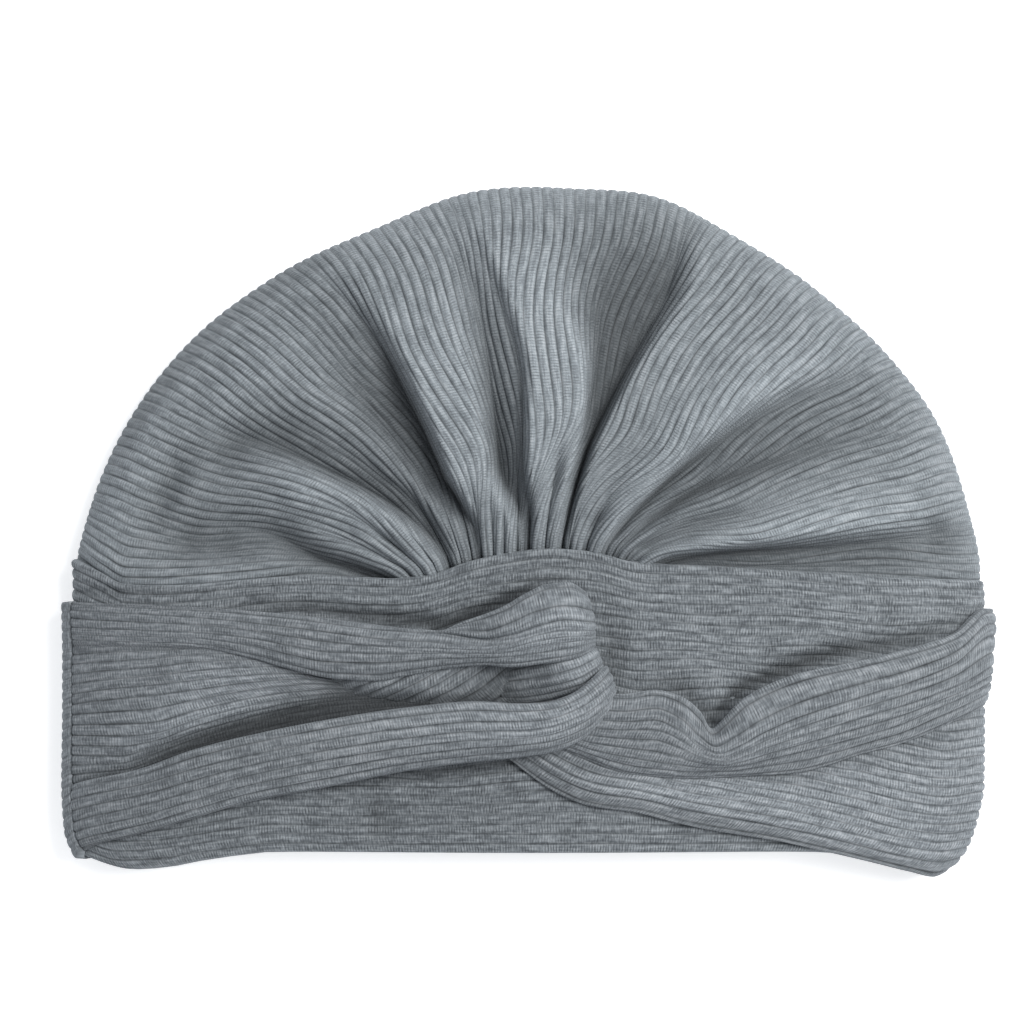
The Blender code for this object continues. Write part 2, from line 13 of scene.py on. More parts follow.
import bmesh
import bpy
import numpy as np
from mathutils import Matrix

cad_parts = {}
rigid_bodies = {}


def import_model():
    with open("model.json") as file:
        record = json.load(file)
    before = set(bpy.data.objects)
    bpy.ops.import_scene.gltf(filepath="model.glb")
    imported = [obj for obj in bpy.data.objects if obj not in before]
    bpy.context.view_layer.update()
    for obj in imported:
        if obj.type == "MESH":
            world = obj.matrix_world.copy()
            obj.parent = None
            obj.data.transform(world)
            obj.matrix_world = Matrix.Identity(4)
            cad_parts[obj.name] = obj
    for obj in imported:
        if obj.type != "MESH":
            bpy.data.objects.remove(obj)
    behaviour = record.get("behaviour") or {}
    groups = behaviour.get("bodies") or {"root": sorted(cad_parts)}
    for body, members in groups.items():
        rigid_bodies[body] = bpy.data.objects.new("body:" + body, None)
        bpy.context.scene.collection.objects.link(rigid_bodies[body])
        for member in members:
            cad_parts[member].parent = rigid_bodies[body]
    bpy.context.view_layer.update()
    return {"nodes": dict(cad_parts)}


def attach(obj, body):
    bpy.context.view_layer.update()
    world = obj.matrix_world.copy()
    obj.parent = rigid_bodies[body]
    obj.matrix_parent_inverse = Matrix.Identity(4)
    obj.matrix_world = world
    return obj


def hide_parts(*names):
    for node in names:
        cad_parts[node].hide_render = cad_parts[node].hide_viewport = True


for old in list(bpy.data.objects):
    bpy.data.objects.remove(old)
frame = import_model()
print("solids:", ", ".join(sorted(frame["nodes"])))

# %% Colours, nodes and objects
def linear(hex_colour):
    """A colour from sRGB hex, as Blender's sockets take it."""
    parts = [int(hex_colour[i:i + 2], 16) / 255 for i in (1, 3, 5)]
    return [c / 12.92 if c <= 0.04045 else ((c + 0.055) / 1.055) ** 2.4 for c in parts] + [1.0]


def add_node(tree, kind, settings=(), **links):
    """Adds a node, sets its properties, and sets or links its sockets by name or number."""
    node = tree.nodes.new(kind)
    for name, value in dict(settings).items():
        setattr(node, name, value)
    for name, value in links.items():
        socket = node.inputs[int(name[1:]) if name[1:].isdigit() else name.replace("_", " ")]
        if isinstance(value, bpy.types.NodeSocket):
            tree.links.new(value, socket)
        else:
            socket.default_value = value
    return node


def add_math(tree, operation, *values):
    """The result of an operation on numbers and sockets."""
    named = {f"_{k}": value for k, value in enumerate(values)}
    return add_node(tree, "ShaderNodeMath", {"operation": operation}, **named).outputs[0]


def place_object(name, data, location=(0, 0, 0)):
    """Puts data into the scene as an object."""
    placed = bpy.data.objects.new(name, data)
    placed.location = location
    bpy.context.scene.collection.objects.link(placed)
    return placed


# %% [markdown]
# ## The frame of the photograph
#
# The hat is 260 mm wide and 935 pixels wide in the picture, which gives the size of a pixel. The camera
# hangs straight above with a long lens, so that shapes near the edges aren't pulled outwards.

# %% Camera
HAT_WIDTH = 0.260
HAT_LENGTH = 0.193
PICTURE_SIDE = 1024
HAT_PIXELS = 935  # the hat's width in the picture
PIXEL = HAT_WIDTH / HAT_PIXELS  # its size on the hat, at the hat's middle height
HAT_MIDDLE = (529.5, 532.5)  # pixel that shows the middle of the hat
MIDDLE_HEIGHT = 0.012  # of its outline
CAMERA_DISTANCE = 1.6
SENSOR = 36.0
VIEW_X = (PICTURE_SIDE / 2 - HAT_MIDDLE[0]) * PIXEL
VIEW_Y = (HAT_MIDDLE[1] - PICTURE_SIDE / 2) * PIXEL

camera_data = bpy.data.cameras.new("camera")
camera_data.sensor_width = SENSOR
camera_data.lens = SENSOR * CAMERA_DISTANCE / (PICTURE_SIDE * PIXEL)
camera_data.clip_start = 0.05
camera = place_object("camera", camera_data, (VIEW_X, VIEW_Y, CAMERA_DISTANCE + MIDDLE_HEIGHT))
bpy.context.scene.camera = camera
print(f"lens {camera_data.lens:.0f} mm, {PICTURE_SIDE * PIXEL * 1000:.0f} mm of table in view")

# %% [markdown]
# ## Table and light
#
# The picture was taken in soft daylight on a white table. A bright plain sky lights everything from all
# sides, so that only the folds are dark, and one large soft lamp on the right gives the folds a lit side.
# The table glows a little, because hardly any shadow shows on it in the picture.

# %% Table
TABLE_WHITE = "#F4F5F6"  # matt laminate: even, with hardly any gloss
TABLE_GLOW = 0.55  # a painted glow: the table shines by itself, so that the hat throws hardly any shadow on it
TABLE_HALF = 3.0
SKY_STRENGTH = 0.62
LAMP_POWER = 26.0
LAMP_SIZE = 0.8
LAMP_PLACE = (0.75, 0.40, 1.20)

laminate = bpy.data.materials.new("matt white laminate")
laminate.use_nodes = True
laminate_shader = laminate.node_tree.nodes["Principled BSDF"]
laminate_shader.inputs["Base Color"].default_value = linear(TABLE_WHITE)
laminate_shader.inputs["Roughness"].default_value = 0.75
laminate_shader.inputs["Emission Color"].default_value = linear(TABLE_WHITE)
laminate_shader.inputs["Emission Strength"].default_value = TABLE_GLOW

table_mesh = bpy.data.meshes.new("table")
table_corners = [(x * TABLE_HALF, y * TABLE_HALF, 0) for x, y in ((-1, -1), (1, -1), (1, 1), (-1, 1))]
table_mesh.from_pydata(table_corners, [], [(0, 1, 2, 3)])
table_mesh.materials.append(laminate)
table = place_object("table", table_mesh)

# %% Daylight
sky = bpy.data.worlds.new("daylight")
sky.use_nodes = True
sky_light = sky.node_tree.nodes["Background"]
sky_light.inputs["Color"].default_value = linear("#F8F9FC")
sky_light.inputs["Strength"].default_value = SKY_STRENGTH
bpy.context.scene.world = sky

lamp_data = bpy.data.lights.new("window", "AREA")
lamp_data.energy = LAMP_POWER
lamp_data.size = LAMP_SIZE
lamp_data.color = (1.0, 0.985, 0.96)
lamp = place_object("window", lamp_data, LAMP_PLACE)
lamp.rotation_euler = (-lamp.location).to_track_quat("-Z", "Y").to_euler()
bpy.context.scene.view_settings.view_transform = "Standard"
print("lamp", LAMP_POWER, "W and sky", SKY_STRENGTH)

# %% [markdown]
# ## The cloth
#
# It is ottoman rib: a fine jersey pushed up into round cords, 2.8 mm apart, with a narrow groove between.
# The cords are tall enough to show in the outline, so they are real geometry. Each cloth is first laid as a
# smooth grid with five samples across every cord, and each point is marked with the number of the cord that
# it lies on. A Geometry Nodes tree then lifts the points along the surface's normal by the cord's profile.

# %% Rib profile
RIB_PITCH = 0.0028
RIB_HEIGHT = 0.00078
RIB_ROUNDNESS = 3.4  # 2 is an even wave; higher gives flatter cords and narrower grooves
RIB_SAMPLES = np.array([0.0, 0.13, 0.35, 0.65, 0.87])  # places across a cord, from groove to groove


def rib_numbers(first, last):
    """Cord numbers of the samples across a cloth, from its first to its last cord."""
    count = math.ceil(last - first)
    numbers = (np.arange(count)[:, None] + RIB_SAMPLES).ravel() + math.floor(first)
    numbers = numbers[(numbers > first) & (numbers < last)]
    return np.concatenate([[first], numbers, [last]])


def rib_tree():
    """Geometry Nodes: raises the cords along the normals of a grid marked with cord numbers."""
    tree = bpy.data.node_groups.new("knit ribs", "GeometryNodeTree")
    sockets = (("Cloth", "Geometry"), ("Height", "Float"), ("Roundness", "Float"), ("Knit", "Material"))
    for name, kind in sockets:
        tree.interface.new_socket(name, in_out="INPUT", socket_type="NodeSocket" + kind)
    tree.interface.new_socket("Ribbed cloth", in_out="OUTPUT", socket_type="NodeSocketGeometry")
    given = tree.nodes.new("NodeGroupInput").outputs
    number, strength = [
        add_node(tree, "GeometryNodeInputNamedAttribute", {"data_type": "FLOAT"}, Name=name).outputs[0]
        for name in ("rib", "relief")
    ]
    across = add_math(tree, "MULTIPLY_ADD", add_math(tree, "FRACT", number), 2.0, -1.0)
    power = add_math(tree, "POWER", add_math(tree, "ABSOLUTE", across), given["Roundness"])
    lift = add_math(tree, "MULTIPLY", add_math(tree, "SUBTRACT", 0.5, power), strength)
    height = add_math(tree, "MULTIPLY", lift, given["Height"])
    normal = tree.nodes.new("GeometryNodeInputNormal").outputs[0]
    push = add_node(tree, "ShaderNodeVectorMath", {"operation": "SCALE"}, _0=normal, Scale=height)
    moved = add_node(
        tree, "GeometryNodeSetPosition", Geometry=given["Cloth"], Offset=push.outputs[0]
    ).outputs[0]
    real = add_node(tree, "GeometryNodeRealizeInstances", Geometry=moved).outputs[0]
    dressed = add_node(tree, "GeometryNodeSetMaterial", Geometry=real, Material=given["Knit"])
    add_node(tree, "NodeGroupOutput", Ribbed_cloth=dressed.outputs[0])
    return tree


knit_ribs = rib_tree()
print("cord profile:", len(RIB_SAMPLES), "samples,", RIB_HEIGHT * 1000, "mm high")


# %% From nodes to plain mesh
def apply_nodes(piece, tree, **inputs):
    """Runs a Geometry Nodes tree on a piece and keeps the result as a plain mesh."""
    modifier = piece.modifiers.new(tree.name, "NODES")
    modifier.node_group = tree
    for item in tree.interface.items_tree:
        if item.in_out == "INPUT" and item.name.replace(" ", "_") in inputs:
            modifier[item.identifier] = inputs[item.name.replace(" ", "_")]
    evaluated = piece.evaluated_get(bpy.context.evaluated_depsgraph_get())
    plain = bpy.data.meshes.new_from_object(evaluated)
    piece.modifiers.remove(modifier)
    piece.data = plain
    return piece


# %% A closed cloth from two grids
RAW_SHIFT = np.array([-0.00025, -0.00021, 0.0])  # the model's origin is the middle of its box
TABLE_CLEAR = 0.00005  # cords that press on the table are flattened there
SAME_POINT = 1e-6


def stitch_borders(faces, outer, inner, flip):
    """Joins two borders by faces between them, where the outer one has several points to each inner one."""
    step = (len(outer) - 1) // (len(inner) - 1)
    for k in range(len(inner) - 1):
        run = outer[k * step:(k + 1) * step + 1]
        face = run + [inner[k + 1], inner[k]]
        faces.append(face if flip else face[::-1])


def knit(name, outer, inner, ribs, relief, depth, material, steps, slant=0.0):
    """One closed cloth: a fine outer grid with cords, and a plain inner grid with fewer points.

    The steps are how many outer rows and samples there are to each inner one. Where the grid is skewed, the
    slant keeps its courses square to its cords.
    """
    rows, across = outer.shape[:2]
    row_step, rib_step = steps
    inner_rows, inner_across = inner.shape[:2]
    run = np.linalg.norm(np.diff(outer, axis=0), axis=2).mean(axis=1)
    along = np.concatenate([[0], np.cumsum(run)])
    number = np.broadcast_to(ribs, (rows, across))
    grid = np.arange(rows * across).reshape(rows, across)
    under = rows * across + np.arange(inner_rows * inner_across).reshape(inner_rows, inner_across)
    faces = []
    for cells, turned in ((grid, False), (under, True)):
        quads = np.stack([cells[:-1, :-1], cells[1:, :-1], cells[1:, 1:], cells[:-1, 1:]], axis=-1)
        quads = quads.reshape(-1, 4)
        faces += (quads[:, ::-1] if turned else quads).tolist()
    stitch_borders(faces, grid[:, 0].tolist(), under[:, 0].tolist(), False)
    stitch_borders(faces, grid[:, -1].tolist(), under[:, -1].tolist(), True)
    stitch_borders(faces, grid[0].tolist(), under[0].tolist(), True)
    stitch_borders(faces, grid[-1].tolist(), under[-1].tolist(), False)

    mesh = bpy.data.meshes.new(name)
    points = np.concatenate([outer.reshape(-1, 3), inner.reshape(-1, 3)]) + RAW_SHIFT
    mesh.from_pydata(points.tolist(), [], faces)
    under_outer = np.ix_(np.arange(inner_rows) * row_step, np.arange(inner_across) * rib_step)
    far = along[:, None] + slant * RIB_PITCH * number
    all_ribs = np.concatenate([number.ravel(), number[under_outer].ravel()])
    all_along = np.concatenate([far.ravel(), far[under_outer].ravel()])
    plain_inside = np.zeros(under.size)
    all_relief = np.concatenate([relief.ravel(), plain_inside])
    # painted shade and painted highlight for the colour, by how deep each point lies; none inside
    all_shade_paint = np.concatenate([depth.ravel(), plain_inside])
    for label, values in (("rib", all_ribs), ("relief", all_relief), ("depth", all_shade_paint)):
        mesh.attributes.new(label, "FLOAT", "POINT").data.foreach_set("value", values.astype(np.float32))
    corner = np.empty(len(mesh.loops), dtype=np.int32)
    mesh.loops.foreach_get("vertex_index", corner)
    laid = np.stack([all_along[corner], all_ribs[corner] * RIB_PITCH], axis=-1)
    mesh.uv_layers.new(name="cloth").data.foreach_set("uv", laid.ravel().astype(np.float32))

    shell = bmesh.new()
    shell.from_mesh(mesh)
    bmesh.ops.remove_doubles(shell, verts=shell.verts, dist=SAME_POINT)
    bmesh.ops.recalc_face_normals(shell, faces=shell.faces)
    shell.to_mesh(mesh)
    shell.free()
    piece = place_object(name, mesh)
    apply_nodes(piece, knit_ribs, Height=RIB_HEIGHT, Roundness=RIB_ROUNDNESS, Knit=material)
    piece.data.attributes.remove(piece.data.attributes["rib"])
    places = np.empty(len(piece.data.vertices) * 3, dtype=np.float32)
    piece.data.vertices.foreach_get("co", places)
    places[2::3] = np.maximum(places[2::3], TABLE_CLEAR)
    piece.data.vertices.foreach_set("co", places)
    piece.data.shade_smooth()
    return piece


def report(piece):
    """Prints what a piece measures."""
    mesh = piece.data
    area = sum(face.area for face in mesh.polygons)
    triangles = sum(len(face.vertices) - 2 for face in mesh.polygons)
    print(f"{piece.name}: {triangles} triangles, {area / 2 * 1e4:.0f} square cm of cloth")


def local_pitch(points):
    """Distance across one cord at each sample, as a share of the knit's own pitch."""
    step = np.linalg.norm(np.diff(points, axis=1), axis=2)
    far = np.concatenate([np.zeros((len(points), 1)), np.cumsum(step, axis=1)], axis=1)
    reach = len(RIB_SAMPLES) // 2
    index = np.arange(points.shape[1])
    high = np.clip(index + reach, 0, index[-1])
    low = np.clip(index - reach, 0, index[-1])
    width = (far[:, high] - far[:, low]) / np.maximum(high - low, 1) * len(RIB_SAMPLES)
    return np.clip(width / RIB_PITCH, 0, 1)


# %% Uneven cords
WEAR_KNOTS = 9  # places along a cord where its height is drawn
CROWN_WEAR, BAND_WEAR, STRAP_WEAR = 0.75, 0.45, 0.60  # the least height drawn, as a share of the most
WAVES = 5
WAVE_LENGTHS, WAVE_ANGLES = (0.025, 0.070), (-0.9, 0.9)
FULL_TURN = 6.28


def cord_wear(rows, numbers, least, seed):
    """Relief of each cord along its length: a real knit's cords aren't all equally tall."""
    draw = np.random.default_rng(seed)
    knots = np.linspace(0, 1, WEAR_KNOTS)
    first = int(np.floor(numbers[0]))
    count = int(np.ceil(numbers[-1])) - first + 1
    heights = draw.uniform(least, 1, (len(knots), count))
    at = np.linspace(0, 1, rows)
    by_cord = np.array([np.interp(at, knots, heights[:, k]) for k in range(count)]).T
    return by_cord[:, np.floor(numbers).astype(int) - first]


def ripple(a, b, seed):
    """Slow waves over a surface, between -1 and 1, for arguments in metres."""
    draw = np.random.default_rng(seed)
    total = 0
    for _ in range(WAVES):
        length, angle = draw.uniform(*WAVE_LENGTHS), draw.uniform(*WAVE_ANGLES)
        phase = draw.uniform(0, FULL_TURN)
        total = total + np.sin(2 * np.pi * (a * np.sin(angle) + b * np.cos(angle)) / length + phase)
    return total / WAVES


# %% [markdown]
# ## Heather knit
#
# The yarn is cotton melange: pale and dark blue-grey fibres spun together, so each cord carries short
# streaks that run along it. The knit is matt, a little fuzzy, and its courses cross every cord as fine
# lines. Its colour is painted a little darker in deep folds and a little lighter on crests: painted shade
# and painted highlight, for light that is lost between the folds. All patterns follow the cloth's own map,
# which holds metres along the cords and across them.

# %% Cloth finish
STREAK_LENGTH = 0.008
STREAK_WIDTH = 0.0009
COURSE_PITCH = 0.00080  # the real courses are finer, and are drawn as coarse as the picture shows them
COURSE_WANDER = 5.0  # radians that the courses drift along a cord, so that they aren't ruled lines
GAP_SHARPNESS = 2.5  # how narrow the dark gaps between courses are
GAP_STRENGTH = 2.4
FLECK_LENGTH, FLECK_WIDTH = 0.0006, 0.0017  # specks that single loops of the yarn make
PATCH_SCALE, PATCH_STRENGTH = 28.0, 0.18  # slow changes of tone over the cloth
DARK_AT, MIDDLE_AT, PALE_AT = 0.36, 0.50, 0.68
FUZZ_SIZE, FUZZ_HEIGHT = 0.0004, 1.6
COURSE_SINK, BUMP_HEIGHT = -1.1, 0.00016
GROOVE_SHADE = 0.12  # painted shade: brightness left in the colour at the bottom of a groove
# painted shade and highlight: how far the colour darkens in a deep fold and lightens on a crest
PAINTED_SHADE_GAIN = 0.60


def knit_cloth(name, pale, middle, dark, course_shade, flecked):
    """Heather cotton rib knit: matt, fuzzy, with streaks along its cords and courses across them."""
    material = bpy.data.materials.new(name)
    material.use_nodes = True
    tree = material.node_tree
    shader = tree.nodes["Principled BSDF"]
    shader.inputs["Roughness"].default_value = 0.9
    shader.inputs["Specular IOR Level"].default_value = 0.25
    shader.inputs["Sheen Weight"].default_value = 0.25
    shader.inputs["Sheen Roughness"].default_value = 0.6
    shader.inputs["Sheen Tint"].default_value = linear("#C9D2DA")

    def math_node(operation, *values):
        return add_math(tree, operation, *values)

    laid = add_node(tree, "ShaderNodeUVMap", {"uv_map": "cloth"}).outputs[0]
    parts = add_node(tree, "ShaderNodeSeparateXYZ", Vector=laid).outputs
    place = add_node(tree, "ShaderNodeTexCoord").outputs["Object"]

    def cloth_noise(length, width, detail, roughness):
        vector = add_node(
            tree, "ShaderNodeCombineXYZ", X=math_node("DIVIDE", parts[0], length),
            Y=math_node("DIVIDE", parts[1], width),
        ).outputs[0]
        return add_node(
            tree, "ShaderNodeTexNoise", {"noise_dimensions": "2D"}, Vector=vector, Scale=1.0,
            Detail=detail, Roughness=roughness,
        ).outputs[0]

    streaks = cloth_noise(STREAK_LENGTH, STREAK_WIDTH, 2.0, 0.6)
    flecks = cloth_noise(FLECK_LENGTH, FLECK_WIDTH, 1.0, 0.5)
    patches = add_node(
        tree, "ShaderNodeTexNoise", Vector=place, Scale=PATCH_SCALE, Detail=2.0, Roughness=0.5
    ).outputs[0]
    mixed = math_node("MULTIPLY_ADD", flecks, flecked, math_node("MULTIPLY", streaks, 1 - flecked))
    mixed = math_node("MULTIPLY_ADD", math_node("SUBTRACT", patches, 0.5), PATCH_STRENGTH, mixed)
    ramp = add_node(tree, "ShaderNodeValToRGB", Fac=mixed)
    stops = ramp.color_ramp.elements
    stops[0].position, stops[0].color = DARK_AT, linear(dark)
    stops[1].position, stops[1].color = PALE_AT, linear(pale)
    stops.new(MIDDLE_AT).color = linear(middle)

    across = math_node("FRACT", math_node("DIVIDE", parts[1], RIB_PITCH))
    away = math_node("ABSOLUTE", math_node("MULTIPLY_ADD", across, 2.0, -1.0))
    relief = add_node(tree, "ShaderNodeAttribute", {"attribute_name": "relief"}).outputs["Fac"]
    groove = math_node("MULTIPLY", math_node("POWER", away, 5.0), relief)
    shaded = math_node("MULTIPLY_ADD", groove, GROOVE_SHADE - 1, 1.0)
    # Painted shade and highlight: the colour is darker where a point lies deep, lighter on a crest
    depth = add_node(tree, "ShaderNodeAttribute", {"attribute_name": "depth"}).outputs["Fac"]
    shaded = math_node("MULTIPLY", shaded, math_node("MULTIPLY_ADD", depth, PAINTED_SHADE_GAIN, 1.0))
    wander = math_node("MULTIPLY", cloth_noise(0.007, 0.004, 1.0, 0.5), COURSE_WANDER)
    cord = math_node("FLOOR", math_node("DIVIDE", parts[1], RIB_PITCH))
    shift = add_node(tree, "ShaderNodeTexWhiteNoise", {"noise_dimensions": "1D"}, W=cord).outputs[0]
    wander = math_node("MULTIPLY_ADD", shift, 2 * math.pi, wander)
    course = math_node("MULTIPLY_ADD", parts[0], 2 * math.pi / COURSE_PITCH, wander)
    courses = math_node("MULTIPLY_ADD", math_node("SINE", course), 0.5, 0.5)
    uneven = cloth_noise(0.004, 0.002, 1.0, 0.5)
    gaps = math_node("MULTIPLY", math_node("POWER", courses, GAP_SHARPNESS), uneven)
    gaps = math_node("MULTIPLY", gaps, math_node("SUBTRACT", 1.0, math_node("POWER", away, 3.0)))
    gap_shade = math_node("MULTIPLY_ADD", gaps, -GAP_STRENGTH * course_shade, 1.0)
    shaded = math_node("MULTIPLY", shaded, gap_shade)
    colour = add_node(
        tree, "ShaderNodeMix", {"data_type": "RGBA", "blend_type": "MULTIPLY"}, _0=1.0,
        _6=ramp.outputs[0], _7=shaded,
    ).outputs[2]
    tree.links.new(colour, shader.inputs["Base Color"])

    fuzz = cloth_noise(FUZZ_SIZE, FUZZ_SIZE, 2.0, 0.6)
    surface = math_node("MULTIPLY_ADD", gaps, COURSE_SINK, math_node("MULTIPLY", fuzz, FUZZ_HEIGHT))
    bump = add_node(tree, "ShaderNodeBump", Height=surface, Distance=BUMP_HEIGHT, Strength=0.9)
    tree.links.new(bump.outputs[0], shader.inputs["Normal"])
    return material


crown_knit = knit_cloth("heather cotton rib, crown", "#8C9297", "#798085", "#666C71", 0.25, 0.32)
band_knit = knit_cloth("heather cotton rib, band", "#8B9196", "#70767B", "#555A5F", 0.38, 0.40)
wrap_knit = knit_cloth("heather cotton rib, wraps", "#8B9095", "#72787D", "#5B6065", 0.34, 0.40)
print("courses", COURSE_PITCH * 1000, "mm apart, streaks", STREAK_LENGTH * 1000, "mm long")

# %% [markdown]
# ## Shape of the hat
#
# The visible cloths follow the same rules as the solids: a rim, a seam, two sides and a hem, each a smooth
# curve through a few shares of the hat's half width and half length. The helpers give the height of the
# front and back of the flattened hat, and place a point above the band at any direction round it.

# %% Sizes of the solids
def table(columns, *rows):
    """Rows with named columns."""
    Row = namedtuple("Row", columns)
    return [Row(*row) for row in rows]


SEAM_HEIGHT, MOUTH_HEIGHT = 0.027, 0.022
EDGE_RADIUS, FRONT_FULLNESS = 0.007, 2.4  # 2 is an elliptic front; higher is flatter, with fuller sides
CROWN_RISE = 0.004  # how far the crown swells above the seam
CROWN_WALL, BAND_WALL, BACK_WRAP_WALL = 0.0022, 0.0024, 0.0026
LAYER_GAP = 0.0005
BAND_LIFT = BACK_WRAP_WALL + LAYER_GAP
HALF_WIDTH, HALF_LENGTH = HAT_WIDTH / 2, HAT_LENGTH / 2
CENTRE_Y = -0.122  # the gathers, in half lengths
RIM_HEIGHT = 1.347  # of the rim above the gathers, in half lengths
LIFT_RUN = 0.020  # over which the back comes down from the back strap to the table
RIB_BOW = 0.10  # how far the cords bow out, as a share of their length
SEAM_PULL_REACH = 0.12  # share of the cords at each side that bend on to the seam

RIM = table(
    "angle radius",
    (-1, 0.965), (0, 0.967), (10, 0.951), (20, 0.937), (31, 0.905), (45, 0.869), (60, 0.851), (70, 0.857),
    (85, 0.834), (97, 0.832), (113, 0.813), (130, 0.840), (145, 0.881), (160, 0.922), (180, 0.973),
)
RIM_START, RIM_END = 178.0, -0.5
RIM_SAMPLES = 720

FRONT_SEAM = table(
    "x y",
    (-0.976, -0.072), (-0.908, -0.114), (-0.861, -0.145), (-0.790, -0.148), (-0.452, -0.119),
    (-0.277, -0.128), (-0.213, -0.119), (-0.127, -0.079), (-0.037, -0.053), (0.044, -0.042),
    (0.129, -0.050), (0.241, -0.085), (0.369, -0.091), (0.542, -0.105), (0.793, -0.128), (0.976, -0.134),
)
BACK_SEAM = table(
    "x y",
    (-0.976, -0.072), (-0.860, -0.150), (0.0, -0.190), (0.860, -0.165), (0.976, -0.134),
)
GATHER_LEFT, GATHER_RIGHT = -0.277, 0.260
BACK_LEFT, BACK_RIGHT = -0.860, 0.860

SIDES = table(
    "y left right",
    (-1.00, 0.890, 0.860), (-0.93, 0.950, 0.910), (-0.85, 0.971, 0.936), (-0.72, 0.976, 0.955),
    (-0.50, 0.974, 0.957), (-0.35, 0.974, 0.962), (-0.20, 0.976, 0.976), (-0.08, 0.973, 0.966),
)
BAND_HEM = table(
    "x y",
    (-0.98, -0.930), (-0.90, -0.968), (-0.82, -0.962), (-0.70, -0.937), (-0.54, -0.914), (0.00, -0.917),
    (0.60, -0.914), (0.80, -0.925), (0.98, -0.900),
)


# %% Curves
def smooth(knots, values, at):
    """A smooth curve through the values, without overshoot between them."""
    knots, values = np.asarray(knots, float), np.asarray(values, float)
    step = np.diff(knots)
    rise = np.diff(values) / step
    slope = np.concatenate([rise[:1], np.zeros(len(rise) - 1), rise[-1:]])
    same_way = rise[:-1] * rise[1:] > 0
    total = np.where(same_way, rise[:-1] + rise[1:], 1)
    slope[1:-1] = np.where(same_way, 2 * rise[:-1] * rise[1:] / total, 0)
    i = np.clip(np.searchsorted(knots, at) - 1, 0, len(step) - 1)
    t = np.clip((at - knots[i]) / step[i], 0, 1)
    return (
        values[i] * (1 + 2 * t) * (1 - t) ** 2
        + step[i] * slope[i] * t * (1 - t) ** 2
        + values[i + 1] * t * t * (3 - 2 * t)
        + step[i] * slope[i + 1] * t * t * (t - 1)
    )


def curve(rows, across, value, at):
    """A smooth curve through two columns of a table."""
    return smooth([getattr(row, across) for row in rows], [getattr(row, value) for row in rows], at)


def ease(t):
    t = np.clip(t, 0, 1)
    return t * t * (3 - 2 * t)


def front_seam(x):
    return HALF_LENGTH * curve(FRONT_SEAM, "x", "y", x / HALF_WIDTH)


def back_seam(x):
    return HALF_LENGTH * curve(BACK_SEAM, "x", "y", x / HALF_WIDTH)


def rim_radius(angle):
    return HALF_WIDTH * curve(RIM, "angle", "radius", angle)


def rim_point(u):
    """Point of the crown's rim at share u of its length, from left to right."""
    angle = np.linspace(RIM_START, RIM_END, RIM_SAMPLES)
    radius = rim_radius(angle)
    x = radius * np.cos(np.radians(angle))
    up = radius * np.sin(np.radians(angle)) * RIM_HEIGHT * HALF_LENGTH / HALF_WIDTH
    y = HALF_LENGTH * CENTRE_Y + up
    length = np.concatenate([[0], np.cumsum(np.hypot(np.diff(x), np.diff(y)))])
    return np.interp(u * length[-1], length, x), np.interp(u * length[-1], length, y)


def polar(x, y):
    """Distance from the gathers as a share of the rim's, and the rim's distance there."""
    dy = (y - CENTRE_Y * HALF_LENGTH) * HALF_WIDTH / (RIM_HEIGHT * HALF_LENGTH)
    angle = np.degrees(np.arctan2(dy, x))
    angle = np.where(angle < -90, angle + 360, angle)
    radius = rim_radius(np.clip(angle, -1, 180))
    return np.hypot(x, dy) / radius, radius


# %% Heights of the flattened hat
def underside(y):
    """The band lies on the back wrap, and the crown on the table."""
    return BAND_LIFT * (1 - ease((y - CENTRE_Y * HALF_LENGTH) / LIFT_RUN))


def front_height(y):
    share = (y + HALF_LENGTH) / (HALF_LENGTH * (1 + CENTRE_Y))
    return MOUTH_HEIGHT + (SEAM_HEIGHT - MOUTH_HEIGHT) * ease(share)


def front_profile(reach, y, wall=0.0):
    """Height of the front at share reach of the way to the edge, for a layer that far inside."""
    middle = underside(y) + EDGE_RADIUS
    top = front_height(y) - wall
    return middle + (top - middle) * np.sqrt(np.clip(1 - reach**FRONT_FULLNESS, 0, 1))


def back_profile(inset, y, wall=0.0):
    """Height of the back this far in from the edge: round at the edge, then flat."""
    radius = EDGE_RADIUS - wall
    across = np.clip(radius - inset, 0, radius)
    return underside(y) + wall + radius - np.sqrt(radius**2 - across**2)


def side_reach(turn, y):
    """Half width of the band on the side that this turn lies on."""
    at = np.clip(y / HALF_LENGTH, -1, 0)
    left = curve(SIDES, "y", "left", at)
    right = curve(SIDES, "y", "right", at)
    leftness = ease(0.5 - 2 * np.cos(np.radians(turn)))
    return HALF_WIDTH * (right + (left - right) * leftness)


def band_point(turn, y, height):
    """Point this far above the band, at this turn round it: 180 left, 90 front, 0 right, 270 back."""
    half = side_reach(turn, y)

    def outline(at):
        x = half * np.cos(np.radians(at))
        front = front_profile(np.abs(x) / half, y)
        back = back_profile(half - np.abs(x), y)
        return x, np.where(np.sin(np.radians(at)) >= 0, front, back)

    x, z = outline(turn)
    ahead_x, ahead_z = outline(turn - 0.5)
    behind_x, behind_z = outline(turn + 0.5)
    dx, dz = ahead_x - behind_x, ahead_z - behind_z
    size = np.hypot(dx, dz)
    return np.stack([x - dz / size * height, y + 0 * x, z + dx / size * height], axis=-1)


print("front", SEAM_HEIGHT * 1000, "mm high at the seam and", MOUTH_HEIGHT * 1000, "mm at the mouth")

# %% [markdown]
# ## Crown
#
# One layer of knit is gathered into 70 mm of seam and fans out to the rim, so its cords bunch at the
# gathers and run full width at the rim. The big folds are written as crests and valleys between the gathers
# and the rim. Along each row the cords are laid a rib's width apart, and the spare ones vanish into the
# valleys, as gathered cloth hides its spare width there. Soft dents break the slopes, and fine pleats stand
# at the seam.

